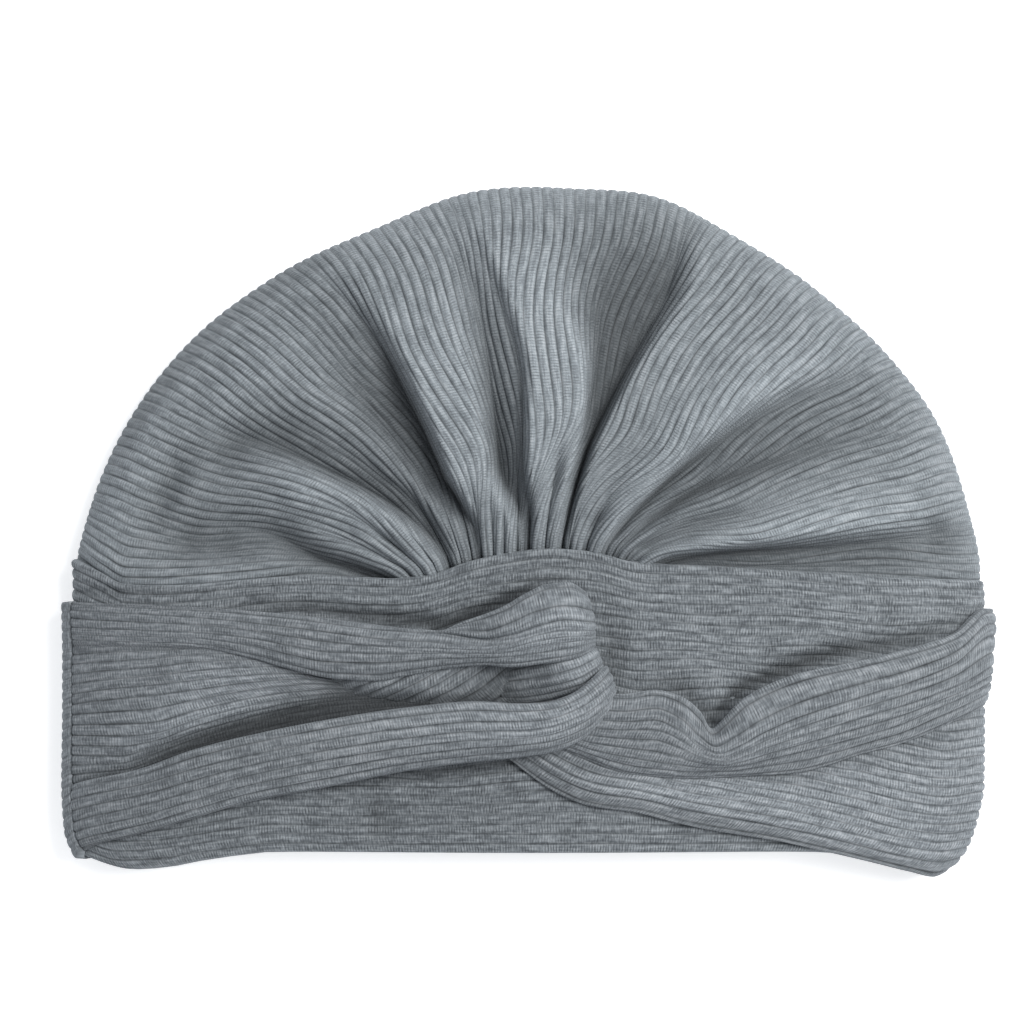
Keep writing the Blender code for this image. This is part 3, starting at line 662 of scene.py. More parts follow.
# %% Folds of the crown
FOLD_FADE = 10  # a power: higher keeps the folds' full height nearer to the rim
SWELL_REACH, SWELL_SIDE = 0.77, 0.17
CROWN_RIBS = 128
CROWN_FRONT_ROWS, CROWN_BACK_ROWS = 104, 32
FOLD_STOPS = [0.08, 0.25, 0.45, 0.70, 0.92]  # shares of the way from the gathers to the rim

# Each fold line runs from the gathers to the rim. Its places are 0 at the left side and 1 at the right, and
# its heights are in millimetres, up for a crest and down for a valley. A valley close to a crest is a
# cliff, and crisp is how sharp the crease at its foot is.
CROWN_FOLDS = table(
    "places heights crisp",
    ([0.000, 0.000, 0.000, 0.000, 0.000], [-0.6, -0.8, -0.5, 0.0, 0.0], 0.0),
    ([0.018, 0.028, 0.052, 0.050, 0.050], [-5.0, -6.5, -5.0, -1.6, 0.5], 0.4),
    ([0.060, 0.066, 0.082, 0.085, 0.085], [0.5, 0.5, 0.3, -0.6, 1.2], 0.0),
    ([0.165, 0.145, 0.122, 0.115, 0.115], [2.6, 3.6, 2.6, 0.0, 1.0], 0.0),
    ([0.202, 0.170, 0.146, 0.135, 0.135], [-4.5, -7.5, -6.0, -1.6, 0.8], 0.5),
    ([0.222, 0.194, 0.170, 0.155, 0.155], [-4.0, -6.0, -4.2, -0.6, 0.8], 0.0),
    ([0.252, 0.222, 0.208, 0.205, 0.205], [-1.0, -2.6, -1.8, 1.2, 0.8], 0.0),
    ([0.292, 0.246, 0.240, 0.264, 0.285], [-2.4, -5.6, -6.4, -3.4, -0.4], 0.0),
    ([0.322, 0.281, 0.286, 0.299, 0.303], [-3.4, -8.4, -9.4, -5.0, -1.0], 0.8),
    ([0.350, 0.304, 0.309, 0.322, 0.330], [1.4, 4.0, 4.4, 2.8, 1.2], 0.0),
    ([0.432, 0.370, 0.368, 0.378, 0.380], [3.6, 4.4, 4.2, 2.8, 1.2], 0.0),
    ([0.492, 0.412, 0.416, 0.424, 0.412], [-2.8, -7.4, -5.8, -3.2, 0.4], 0.4),
    ([0.512, 0.480, 0.476, 0.448, 0.428], [-2.8, -3.2, -1.6, -0.6, 0.8], 0.0),
    ([0.540, 0.502, 0.497, 0.466, 0.442], [2.0, 4.0, 4.4, 3.8, 2.6], 0.0),
    ([0.612, 0.615, 0.590, 0.505, 0.465], [2.2, 3.8, 4.6, 4.0, 2.8], 0.0),
    ([0.632, 0.632, 0.617, 0.588, 0.596], [-1.0, -3.5, -7.4, -7.0, -4.6], 0.0),
    ([0.652, 0.649, 0.655, 0.650, 0.627], [-5.0, -9.5, -11.0, -9.0, -6.0], 0.5),
    ([0.672, 0.668, 0.672, 0.672, 0.648], [0.6, 0.6, 0.6, 1.0, 1.0], 0.0),
    ([0.725, 0.725, 0.730, 0.732, 0.730], [0.2, 0.6, 0.8, 1.2, 1.2], 0.0),
    ([0.778, 0.794, 0.796, 0.794, 0.790], [3.8, 5.4, 5.6, 4.2, 2.2], 0.0),
    ([0.808, 0.812, 0.816, 0.818, 0.822], [-4.5, -6.5, -5.5, -3.6, -1.2], 0.3),
    ([0.830, 0.832, 0.840, 0.846, 0.852], [-1.4, -3.4, -4.2, -3.6, -1.4], 0.0),
    ([0.848, 0.853, 0.868, 0.874, 0.880], [-3.6, -8.0, -7.2, -4.6, -1.4], 0.5),
    ([0.870, 0.876, 0.893, 0.902, 0.900], [-0.8, -2.2, -2.2, -1.0, 0.2], 0.0),
    ([0.892, 0.904, 0.917, 0.922, 0.918], [-3.6, -4.0, -0.6, 0.8, 0.8], 0.3),
    ([0.938, 0.950, 0.953, 0.951, 0.938], [2.4, 4.2, 4.8, 4.4, 2.4], 0.0),
    ([0.970, 0.970, 0.972, 0.969, 0.962], [-5.0, -6.5, -6.0, -5.6, -4.8], 0.3),
    ([0.990, 0.990, 0.990, 0.990, 0.988], [-3.0, -4.4, -4.6, -4.4, -3.4], 0.0),
    ([1.000, 1.000, 1.000, 1.000, 1.000], [-0.5, -1.0, -1.0, -1.0, -0.6], 0.0),
)

# Soft dents and, where the depth is below zero, soft bumps: place, reach both ways, and millimetres
CROWN_DENTS = table(
    "u v wide long depth",
    (0.070, 0.80, 0.042, 0.05, 4.0), (0.030, 0.69, 0.020, 0.07, 4.6), (0.120, 0.69, 0.024, 0.07, 4.6),
    (0.026, 0.57, 0.016, 0.08, 3.0), (0.152, 0.60, 0.024, 0.08, 3.2), (0.100, 0.43, 0.016, 0.07, -2.2),
    (0.050, 0.93, 0.070, 0.05, -3.6), (0.185, 0.80, 0.055, 0.07, -2.6), (0.962, 0.89, 0.024, 0.05, 3.0),
    (0.004, 0.60, 0.020, 0.20, -2.0), (0.585, 0.20, 0.018, 0.06, 2.6), (0.735, 0.08, 0.026, 0.03, 2.0),
    (0.120, 0.14, 0.014, 0.06, 2.6), (0.195, 0.10, 0.016, 0.04, 1.8),
)

# Fine pleats at the seam: where each crease lies, how deep it is in millimetres, and how far it runs
PLEATS = table(
    "u depth reach",
    (0.000, 0.0, 0.10), (0.030, 1.6, 0.26), (0.080, 2.4, 0.30), (0.120, 1.8, 0.36), (0.163, 2.6, 0.22),
    (0.213, 3.2, 0.30), (0.255, 2.2, 0.22), (0.295, 3.4, 0.30), (0.335, 2.8, 0.24), (0.378, 2.4, 0.20),
    (0.418, 3.0, 0.22), (0.466, 3.4, 0.30), (0.518, 3.4, 0.26), (0.580, 3.4, 0.34), (0.644, 3.6, 0.30),
    (0.672, 2.6, 0.16), (0.737, 3.0, 0.20), (0.790, 2.6, 0.20), (0.833, 2.8, 0.24), (0.878, 2.6, 0.26),
    (0.915, 1.8, 0.28), (0.952, 2.2, 0.22), (1.000, 0.0, 0.10),
)
SEAM_TUCK = 0.0022  # how far the crown's edge dives under the band's edge
SEAM_TUCK_RUN = 0.0030
SEAM_TUCK_BACK = 0.8  # of its dive, how far the edge also moves down the hat
PLEAT_FADE = 1.1  # a power: higher makes the pleats die out sooner
PLEAT_GAIN = 1.25
LINING_SINK, LINING_REACH = 0.0025, 0.4  # the inner layer keeps clear of the pleats
RIM_CREASE = 0.0007  # a pressed crease that runs along the rim on the left
RIM_CREASE_PLACE, RIM_CREASE_WIDTH = 0.0062, 0.0016
RIM_CREASE_START, RIM_CREASE_END, RIM_CREASE_FADE = 0.06, 0.36, 0.06  # shares of the rim's length


# %% Plan of the crown
def side_seam_pull(u, v, seam, ends):
    """Brings the outermost ribs onto the seam, which they run along, at share v of their length."""
    near_x = HALF_WIDTH * np.where(u < 0.5, *ends)
    far_x, far_y = rim_point(np.where(u < 0.5, 0.0, 1.0))
    x = near_x + (far_x - near_x) * v
    straight = seam(near_x) + (far_y - seam(near_x)) * v
    nearness = np.clip(1 - np.minimum(u, 1 - u) / SEAM_PULL_REACH, 0, 1)
    return nearness**2 * (seam(x) - straight)


def crown_plan_front(u, v):
    """Plan place of rib u at share v of its length, from the gathers to the rim."""
    far_x, far_y = rim_point(u)
    near_x = HALF_WIDTH * (GATHER_LEFT + (GATHER_RIGHT - GATHER_LEFT) * u)
    near_y = front_seam(near_x)
    run_x, run_y = far_x - near_x, far_y - near_y
    bow = -RIB_BOW * np.sin(2 * np.pi * u) * 4 * v * (1 - v)
    x = near_x + run_x * v - run_y * bow
    y = near_y + run_y * v + run_x * bow
    return x, y + side_seam_pull(u, v, front_seam, (GATHER_LEFT, GATHER_RIGHT))


def crown_plan_back(u, w):
    """Plan place of rib u at share w of its length, from the rim down to the back seam."""
    far_x, far_y = rim_point(u)
    near_x = HALF_WIDTH * (BACK_LEFT + (BACK_RIGHT - BACK_LEFT) * u)
    x = far_x + (near_x - far_x) * w
    y = far_y + (back_seam(near_x) - far_y) * w
    return x, y + side_seam_pull(u, 1 - w, back_seam, (BACK_LEFT, BACK_RIGHT))


# %% Relief of the crown
def fold_height(u, v):
    """Height of the big folds along one row: round crests, creased valleys and the slopes between."""
    at = np.array([v])
    places = np.array([smooth(FOLD_STOPS, fold.places, at)[0] for fold in CROWN_FOLDS])
    heights = np.array([smooth(FOLD_STOPS, fold.heights, at)[0] for fold in CROWN_FOLDS]) / 1000
    heights *= 0.5 + 0.5 * ease(v / FOLD_STOPS[0])
    crisp = np.array([fold.crisp for fold in CROWN_FOLDS])
    k = np.clip(np.searchsorted(places, u) - 1, 0, len(places) - 2)
    t = np.clip((u - places[k]) / (places[k + 1] - places[k]), 0, 1)
    rising = heights[k + 1] > heights[k]
    creased = np.where(rising, np.sin(np.pi / 2 * t), 1 - np.cos(np.pi / 2 * t))
    sharp = np.where(rising, crisp[k], crisp[k + 1])
    share = ease(t) + (creased - ease(t)) * sharp
    return heights[k] + (heights[k + 1] - heights[k]) * share


def pleat_height(u, v):
    """Fine pleats at the gathers: each is round between two creases, which die out up the crown."""
    creases, depths, reach = np.array(PLEATS).T
    depth = depths / 1000 * np.clip(1 - v / reach, 0, 1) ** PLEAT_FADE * PLEAT_GAIN
    k = np.clip(np.searchsorted(creases, u) - 1, 0, len(creases) - 2)
    t = np.clip((u - creases[k]) / (creases[k + 1] - creases[k]), 0, 1)
    crease_depth = depth[k] * (1 - t) ** 2 + depth[k + 1] * t**2
    round_top = np.sqrt(1 - (2 * t - 1) ** 2)
    return -crease_depth / np.maximum((1 - t) ** 2 + t**2, 0.5) * (1 - round_top)


def dents(rows, across, along):
    """Sum of the soft dents at a place, in metres."""
    total = 0.0
    for place, far, wide, long, depth in rows:
        hollow = np.exp(-(((across - place) / wide) ** 2) - ((along - far) / long) ** 2)
        total = total - depth / 1000 * hollow
    return total


def pressed(u):
    """1 along the pressed crease, falling to 0 past both of its ends."""
    return ease((u - RIM_CREASE_START) / RIM_CREASE_FADE) * ease((RIM_CREASE_END - u) / RIM_CREASE_FADE)


def rim_crease(u, reach, radius):
    """The pressed crease along the left of the rim: a low ridge."""
    inside = (1 - reach) * radius
    return RIM_CREASE * pressed(u) * np.exp(-(((inside - RIM_CREASE_PLACE) / RIM_CREASE_WIDTH) ** 2))


def crown_front(u, v, wall=0.0):
    """Points of one row across the crown's front."""
    x, y = crown_plan_front(u, v)
    reach, radius = polar(x, y)
    reach = np.minimum(reach, 1)
    swell = CROWN_RISE * np.sin(np.pi * np.clip(v / SWELL_REACH, 0, 1))
    relief = fold_height(u, v) + dents(CROWN_DENTS, u, v) + swell * ease(np.minimum(u, 1 - u) / SWELL_SIDE)
    tuck = SEAM_TUCK * (1 - ease((y - front_seam(x)) / SEAM_TUCK_RUN))
    if wall:
        relief = relief - LINING_SINK * (1 - ease(v / LINING_REACH))
    else:
        relief = relief + pleat_height(u, v)
    crease = rim_crease(u, reach, radius)
    z = front_profile(reach, y, wall) + relief * (1 - reach**FOLD_FADE) + crease - tuck
    return inset(x, y - tuck * SEAM_TUCK_BACK, z, radius, wall)


def crown_back(u, w, wall=0.0):
    """Points of one row across the crown's back."""
    x, y = crown_plan_back(u, w)
    reach, radius = polar(x, y)
    z = back_profile((1 - np.minimum(reach, 1)) * radius, y, wall)
    return inset(x, y, z, radius, wall)


def inset(x, y, z, radius, wall):
    """Points moved this far in from the rim."""
    inwards = 1 - wall / radius
    centre = CENTRE_Y * HALF_LENGTH
    return np.stack([x * inwards, centre + (y - centre) * inwards, z], axis=-1)


# %% Cords across the crown
FINE = 4800  # samples along a row, to lay the cords by
HOLLOW_WINDOW = 25  # samples over which a valley takes up spare cords
HOLLOW_LEAST = 3e-6
SPARE_EASE = 0.040  # eases the spare width out towards the rim
# Painted shade and highlight: a valley this deep is painted darkest; crests are painted at most this
# lighter
DEEP_FOLD = 0.0075
CREST_MOST = 0.55
PLEAT_SHADE, RIM_SHADE = 0.7, 0.35  # how much the pleats and the turned rim count towards the painted shade
RIM_SHADE_RUN = 0.002
CORD_EASE = 0.17  # share of a cord's length over which its place is eased, so that it runs smoothly
CROWN_RELIEF, BUNCHED_POWER = 1.1, 1.2  # cord height, and a power: higher flattens bunched cords more
RIM_RELIEF = ([0, 0.88, 1, 1.2, 2], [1, 1, 0.55, 1, 1])  # the cords are stretched lower over the rim
ROW_CROWDING = 1.7  # a power: higher crowds the back's rows nearer to the rim


def rib_places(row, numbers):
    """Where each cord sample lies across a row: a rib apart on the crests, the spare ones in valleys."""
    u = np.linspace(0, 1, FINE + 1)
    points = row(u)
    step = np.linalg.norm(np.diff(points, axis=0), axis=1)
    short = CROWN_RIBS * RIB_PITCH - step.sum()
    spare = (short + np.hypot(short, SPARE_EASE)) / 2
    slope = np.diff(points[:, 2]) / np.maximum(step, 1e-9)
    hollow = np.maximum(np.gradient(np.convolve(slope, np.ones(9) / 9, "same")), 0)
    window = np.hanning(HOLLOW_WINDOW)
    hollow = np.convolve(hollow, window / window.sum(), "same") + HOLLOW_LEAST
    weight = step + spare * hollow / hollow.sum()
    count = np.concatenate([[0], np.cumsum(weight)])
    return np.interp(numbers / CROWN_RIBS, count / count[-1], u)


def crown_painted_shade(places, v):
    """Painted shade and highlight of a row's points by depth: -1 in a deep valley, above 0 on a crest."""
    reach, radius = polar(*crown_plan_front(places, v))
    reach = np.minimum(reach, 1)
    deep = fold_height(places, v) + PLEAT_SHADE * pleat_height(places, v) + dents(CROWN_DENTS, places, v)
    outside = ease((RIM_CREASE_PLACE - (1 - reach) * radius) / RIM_SHADE_RUN)
    turned = RIM_SHADE * outside * pressed(places)
    return np.clip(deep / DEEP_FOLD, -1, CREST_MOST) * (1 - reach**FOLD_FADE) - turned


crown_numbers = rib_numbers(0, CROWN_RIBS)
front_v = np.sin(np.pi / 2 * np.linspace(0, 1, CROWN_FRONT_ROWS + 1))
back_w = np.linspace(0, 1, CROWN_BACK_ROWS + 1)[1:] ** ROW_CROWDING
crown_rows = [(crown_front, v) for v in front_v] + [(crown_back, w) for w in back_w]
crown_places = np.array([rib_places(lambda u: lay(u, share), crown_numbers) for lay, share in crown_rows])
row_at = np.concatenate([front_v, 1 + back_w])  # 0 at the gathers, 1 at the rim and 2 at the back seam
apart = np.abs(row_at[:, None] - row_at[None, :]) / CORD_EASE
weight = (1 + np.cos(np.pi * np.minimum(apart, 1))) * np.gradient(row_at)[None, :]
crown_places = weight / weight.sum(axis=1, keepdims=True) @ crown_places
crown_steps = (4, len(RIB_SAMPLES))


def crown_points(wall=0.0, row_step=1, rib_step=1):
    """A grid over the whole crown, with every so many of its rows and cord samples."""
    rows = list(zip(crown_rows, crown_places))[::row_step]
    return np.array([lay(places[::rib_step], share, wall) for (lay, share), places in rows])


crown_outer = crown_points()
crown_inner = crown_points(CROWN_WALL, *crown_steps)
# painted shade and highlight of the crown's front rows; the back stays plain
crown_shade_paint = np.zeros(crown_outer.shape[:2])
for k, v in enumerate(front_v):
    crown_shade_paint[k] = crown_painted_shade(crown_places[k], v)
crown_wear = cord_wear(len(crown_outer), crown_numbers, CROWN_WEAR, seed=3)
crown_relief = CROWN_RELIEF * local_pitch(crown_outer) ** BUNCHED_POWER * crown_wear
crown_relief *= np.interp(row_at, *RIM_RELIEF)[:, None]
crown = knit(
    "gathered_crown", crown_outer, crown_inner, crown_numbers, crown_relief, crown_shade_paint, crown_knit,
    crown_steps,
)
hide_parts("crown")
report(crown)

# %% [markdown]
# ## Band
#
# The doubled band runs round the head, with its cords along it. Its top edge is a soft lip sewn over the
# crown's edge, and its hem is a round fold, so a few extra rows turn over at both edges. The band is soft:
# it sinks beside the straps that press on it, and its cords wander a little.

# %% Band
BAND_RIBS = 30
BAND_TURNS = 240
BAND_RELIEF = 0.95
BAND_LIP, BAND_LIP_WIDTH = 0.0007, 0.003
LIP_FADE_FROM, LIP_FADE_RUN = 0.035, 0.030  # the lip flattens out on the right
TOP_ROUND, HEM_ROUND = 0.0012, 0.0012
TOP_ROUND_RUN = 0.0014
CORD_WANDER = 0.7  # cords
BAND_WAVE = 0.0005
LINING_DROP = 1.7  # the inner layer sinks more than the outer one, so that it never shows


def across_band(turn):
    """How far across the hat the band's top lies at this turn."""
    return side_reach(turn, -0.1 * HALF_LENGTH) * np.cos(np.radians(turn))


def band_rows(turn, numbers):
    """Places across the band for each turn, from the seam to the hem, evenly by cord number."""
    x = across_band(turn)
    top = np.where(np.sin(np.radians(turn)) >= 0, front_seam(x), back_seam(x))
    hem = HALF_LENGTH * curve(BAND_HEM, "x", "y", x / HALF_WIDTH)
    return top + (hem - top) * numbers / BAND_RIBS


# The band sinks where a strap's edge presses beside it. Each trench is a line of places in the photograph,
# in pixels, with its depth in millimetres.
TRENCHES = [table("across down depth", *rows) for rows in (
    [
        (215, 605, 0.0), (300, 609, 1.6), (360, 615, 2.2), (410, 620, 2.6), (440, 626, 3.2),
        (475, 614, 3.2), (505, 601, 2.8), (530, 590, 1.8), (565, 580, 0.0),
    ],
    [
        (620, 690, 0.0), (670, 686, 1.2), (692, 694, 1.8), (714, 716, 2.2), (738, 695, 2.8),
        (790, 668, 3.0), (850, 652, 2.6), (912, 639, 1.8), (960, 625, 0.8), (990, 612, 0.0),
    ],
    [
        (400, 704, 0.0), (470, 700, 2.0), (506, 692, 5.0), (530, 700, 3.0), (570, 705, 0.0),
    ],
    [
        (120, 775, 0.0), (160, 763, 1.2), (200, 751, 2.0), (250, 735, 2.0), (300, 724, 2.0),
        (350, 713, 2.0), (400, 706, 2.0), (450, 702, 1.6), (480, 700, 0.0),
    ],
    [
        (300, 790, 0.0), (360, 782, 1.2), (440, 770, 1.6), (520, 762, 1.6), (560, 752, 0.0),
    ],
)]
TRENCH_WIDTH = 9.0
# a trench this deep is painted with the full shade
DEEP_TRENCH = 0.0026
# The dents' places and reaches are also in pixels here.
BAND_DENTS = table(
    "across down wide long depth",
    (378, 818, 12, 24, 1.4), (614, 655, 14, 40, 1.8), (120, 592, 60, 6, 0.8), (430, 812, 140, 30, 0.5),
)


def trench_depth(x, y):
    """How far the band sinks beside the straps at this place on its front, in metres."""
    nearer = 1 - (front_height(y) - MIDDLE_HEIGHT) / CAMERA_DISTANCE
    across = HAT_MIDDLE[0] + (VIEW_X + (x - VIEW_X) / nearer) / PIXEL
    down = HAT_MIDDLE[1] - (VIEW_Y + (y - VIEW_Y) / nearer) / PIXEL
    total = -dents(BAND_DENTS, across, down)
    for trench in TRENCHES:
        line = curve(trench, "across", "down", across)
        deep = curve(trench, "across", "depth", across)
        total = np.maximum(total, deep / 1000 * np.exp(-(((down - line) / TRENCH_WIDTH) ** 2)))
    return total


def round_off(inwards, drop):
    """Drop of a round edge, at this share of the way in from it."""
    return drop * (1 - np.sqrt(1 - (1 - np.clip(inwards, 0, 1)) ** 2))


def band_surface(turn, numbers, wall):
    """Points of the band; the outer layer turns over at the lip and at the hem."""
    turn_grid, _ = np.broadcast_arrays(turn, numbers)
    x = across_band(turn)
    share = numbers / BAND_RIBS
    middle = share * (1 - share) * 4
    wander = ripple(x, numbers * RIB_PITCH, seed=11) * middle
    y = band_rows(turn, numbers + CORD_WANDER * wander)
    sunk = trench_depth(x, y) * (np.sin(np.radians(turn)) > 0)
    if wall:
        return band_point(turn_grid, y, -wall - LINING_DROP * sunk)
    width = np.abs(y[:, -1:] - y[:, :1])
    lip = BAND_LIP * np.exp(-((share * width / BAND_LIP_WIDTH) ** 2))
    lip = lip * (1 - ease((x - LIP_FADE_FROM) / LIP_FADE_RUN))
    wave = BAND_WAVE * middle * ripple(numbers * RIB_PITCH, x, seed=12)
    drop = round_off(share * width / TOP_ROUND_RUN, TOP_ROUND)
    drop = drop + round_off((1 - share) * width / HEM_ROUND, HEM_ROUND)
    return band_point(turn_grid, y, lip + wave - drop - sunk)


def with_edges(numbers, first, last):
    """Adds close samples next to both edges of a cloth, for its rounding."""
    near = np.array([0.05, 0.12, 0.25])
    return np.unique(np.round(np.concatenate([numbers, first + near, last - near]), 4))


def padded_numbers(numbers, step):
    """Adds samples next to the first edge, so that the number of steps divides evenly."""
    extra = (-(len(numbers) - 1)) % step
    more = numbers[0] + (numbers[1] - numbers[0]) * np.linspace(0, 1, extra + 2)[1:-1]
    return np.sort(np.concatenate([numbers, more]))


band_numbers = padded_numbers(with_edges(rib_numbers(0, BAND_RIBS), 0, BAND_RIBS), 5)
band_turns = np.linspace(0, 360, BAND_TURNS + 1)[:, None]
band_outer = band_surface(band_turns, band_numbers[None, :], 0.0)
band_inner = band_surface(band_turns[::4], band_numbers[None, ::5], BAND_WALL)
band_wear = cord_wear(len(band_outer), band_numbers, BAND_WEAR, seed=5)
band_relief = BAND_RELIEF * local_pitch(band_outer) * band_wear
# Painted shade: the band's front is painted darker where it sinks beside the straps and in its dents
trench_x = HALF_WIDTH * 0.97 * np.cos(np.radians(band_turns))
band_shade_paint = -trench_depth(trench_x, band_rows(band_turns, band_numbers[None, :])) / DEEP_TRENCH
band_shade_paint *= np.sin(np.radians(band_turns)) > 0
band = knit(
    "ribbed_band", band_outer, band_inner, band_numbers, band_relief, np.maximum(band_shade_paint, -1), band_knit,
    (4, 5),
)
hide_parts("band")
report(band)

# %% [markdown]
# ## Straps
#
# The front straps are stretched, rolled and folded over each other. Each visible piece of them is lofted
# through a few lines that run along it. A line's points are places in the photograph, in pixels across and
# down, with the height above the band in millimetres, and the line carries the number of its cord. Between
# lines the surface and the cords run smoothly, so cords bunch where lines meet, as on the real cloth.


# %% Lofting a strap
def photo_place(across, down, height):
    """Turn and place on the band that this pixel shows, for a point this far above the band."""
    x = (across - HAT_MIDDLE[0]) * PIXEL
    y = (HAT_MIDDLE[1] - down) * PIXEL
    nearer = 1 - (front_height(y) + height - MIDDLE_HEIGHT) / CAMERA_DISTANCE
    x = VIEW_X + (x - VIEW_X) * nearer - RAW_SHIFT[0]
    y = VIEW_Y + (y - VIEW_Y) * nearer - RAW_SHIFT[1]
    half = side_reach(np.where(x < 0, 180.0, 0.0), y)
    return np.degrees(np.arccos(np.clip(x / half, -1, 1))), y


def line_controls(line, start_turn, end_turn, end_height):
    """A line's points as turn, place and height, carried on to the seam where its strap has one."""
    controls = []
    for across, down, up in line.points:
        turn, y = photo_place(across, down, up / 1000)
        controls.append([float(turn), float(y), up / 1000])
    if start_turn is not None:
        controls[0][0] = start_turn
    if end_turn is not None:
        controls.append([end_turn, controls[-1][1], min(end_height, controls[-1][2])])
    return np.array(controls)


def strap_surface(lines, runs, numbers, start_turn=None, end_turn=None, end_height=0.0026):
    """Turn, place and height over a grid: runs along the strap, cord numbers across it."""
    t = np.linspace(0, 1, runs + 1)
    by_line = []
    for line in lines:
        controls = line_controls(line, start_turn, end_turn, end_height)
        points = band_point(controls[:, 0], controls[:, 1], controls[:, 2])
        far = np.concatenate([[0], np.cumsum(np.linalg.norm(np.diff(points, axis=0), axis=1))])
        by_line.append([smooth(far / far[-1], controls[:, k], t) for k in range(3)])
    by_line = np.array(by_line)
    knots = [line.rib for line in lines]
    return [np.array([smooth(knots, row, numbers) for row in by_line[:, k].T]) for k in range(3)]


STRAP_STEP = 4  # outer points to each inner one
STRAP_WALL, STRAP_WALL_LEAST = 0.0018, 0.15  # metres, and as a share of the height where that is less
END_HEIGHT = 0.25  # share of its height that a strap keeps at a rounded end
CREST_FROM = 0.68  # share of a strap's height above which its colour gets a painted highlight
FOOT_HEIGHT, FOOT_SHARE = 0.0035, 0.7  # below the lower of these a strap's colour gets painted shade
# a strap this tall gets the full painted shadow at its foot
FULL_SHADOW_HEIGHT = 0.006


def strap(name, lines, runs, crest_highlight=0.45, shadow=1.0, slant=0.0, end_run=None, **shape):
    """A strap piece lofted through its lines: painted highlight on its crest, painted shade at its foot."""
    numbers = padded_numbers(rib_numbers(lines[0].rib, lines[-1].rib), STRAP_STEP)
    turn, y, tall = strap_surface(lines, runs, numbers, **shape)
    height = tall
    if end_run:
        fall = np.sqrt(1 - np.clip(1 - (1 - np.linspace(0, 1, runs + 1)) / end_run, 0, 1) ** 2)
        height = tall * (END_HEIGHT + (1 - END_HEIGHT) * fall[:, None])
    outer = band_point(turn, y, height)
    low = np.maximum(height - STRAP_WALL, STRAP_WALL_LEAST * height)
    inner = band_point(turn, y, low)[::STRAP_STEP, ::STRAP_STEP]
    relief = local_pitch(outer) * cord_wear(len(outer), numbers, STRAP_WEAR, seed=len(name))
    # Painted highlight on the crest and painted shade at the foot, stored as depth for the colour
    top = tall.max()
    foot_shade = shadow * min(top / FULL_SHADOW_HEIGHT, 1) * (1 - ease(tall / min(FOOT_HEIGHT, FOOT_SHARE * top)))
    depth = crest_highlight * ease((tall / top - CREST_FROM) / (1 - CREST_FROM)) - foot_shade
    steps = (STRAP_STEP, STRAP_STEP)
    piece = knit(name, outer, inner, numbers, relief, depth, wrap_knit, steps, slant)
    report(piece)
    return piece


LEFT_SEAM, RIGHT_SEAM = 171, -12  # turns where the front straps meet the back one

# %% [markdown]
# ### Left strap
#
# It leaves the side seam flat, rolls up along its top, and loops over the other strap. Its lower part is
# folded forward into a strip that comes round the loop from below.

# %% Left strap: roll and loop
ROLL = table(
    "rib points",
    (0, [
        (76, 606, 0.3), (194, 611, 0.3), (290, 619, 0.3), (389, 632, 0.3), (436, 638, 0.5),
        (468, 629, 1.0), (505, 616, 1.2), (531, 602, 1.5), (549, 595, 2.0), (566, 592, 2.5),
        (579, 597, 3.0)]),
    (2.5, [
        (76, 602.5, 1.0), (194, 607.5, 1.2), (290, 614.5, 1.8), (389, 626.5, 3.2), (434, 632, 4.6),
        (464, 622, 6.0), (502, 608, 8.0), (528, 593, 9.5), (547, 585, 9.5), (568, 583, 8.5),
        (585, 592, 7.0)]),
    (4.5, [
        (76, 603, 2.0), (194, 608, 2.4), (290, 615, 3.0), (389, 628, 5.0), (443, 631, 7.0),
        (484, 636, 8.5), (510, 630, 11), (535, 620, 12.5), (565, 614, 12.8), (594, 617, 9.5)]),
    (5.2, [
        (76, 606, 2.3), (194, 612, 2.8), (290, 620, 4.6), (389, 632, 7.0), (443, 635, 6.6),
        (484, 640, 7.6), (510, 637, 10.4), (535, 629, 12.6), (565, 622, 13.2), (595, 624, 9.6)]),
    (6.2, [
        (76, 612, 2.7), (194, 619, 3.4), (290, 629, 6.2), (389, 641, 9.2), (443, 644, 10.4),
        (484, 647, 11.5), (510, 644, 12.4), (535, 637, 13.3), (565, 632, 13.4), (596, 632, 9.5)]),
    (8.5, [
        (76, 632, 2.6), (194, 636, 3.6), (251, 642, 5.3), (290, 650, 6.6), (330, 657, 7.8),
        (389, 658, 9.0), (443, 656, 9.6), (484, 656, 10.4), (510, 654, 11.3), (538, 650, 11.8),
        (567, 645, 11.8), (596, 641, 8.8)]),
    (11, [
        (76, 645, 2.4), (194, 648, 2.6), (251, 658, 3.4), (290, 669, 4.0), (330, 678, 4.2),
        (375, 681, 4.5), (415, 674, 5.0), (449, 668, 5.8), (484, 665, 7.0), (510, 667, 8.0),
        (538, 664, 8.5), (567, 660, 8.5), (594, 650, 7.5)]),
    (12.2, [
        (76, 648, 1.8), (194, 650, 1.2), (251, 657, 0.8), (290, 664, 0.8), (330, 672, 1.0),
        (375, 676, 1.5), (415, 670, 2.0), (449, 664, 3.0), (484, 662, 4.0), (510, 664, 5.0),
        (538, 662, 4.5), (567, 658, 4.5), (592, 650, 4.5)]),
)
roll = strap("left_wrap_roll", ROLL, 240, start_turn=LEFT_SEAM, end_run=0.03)

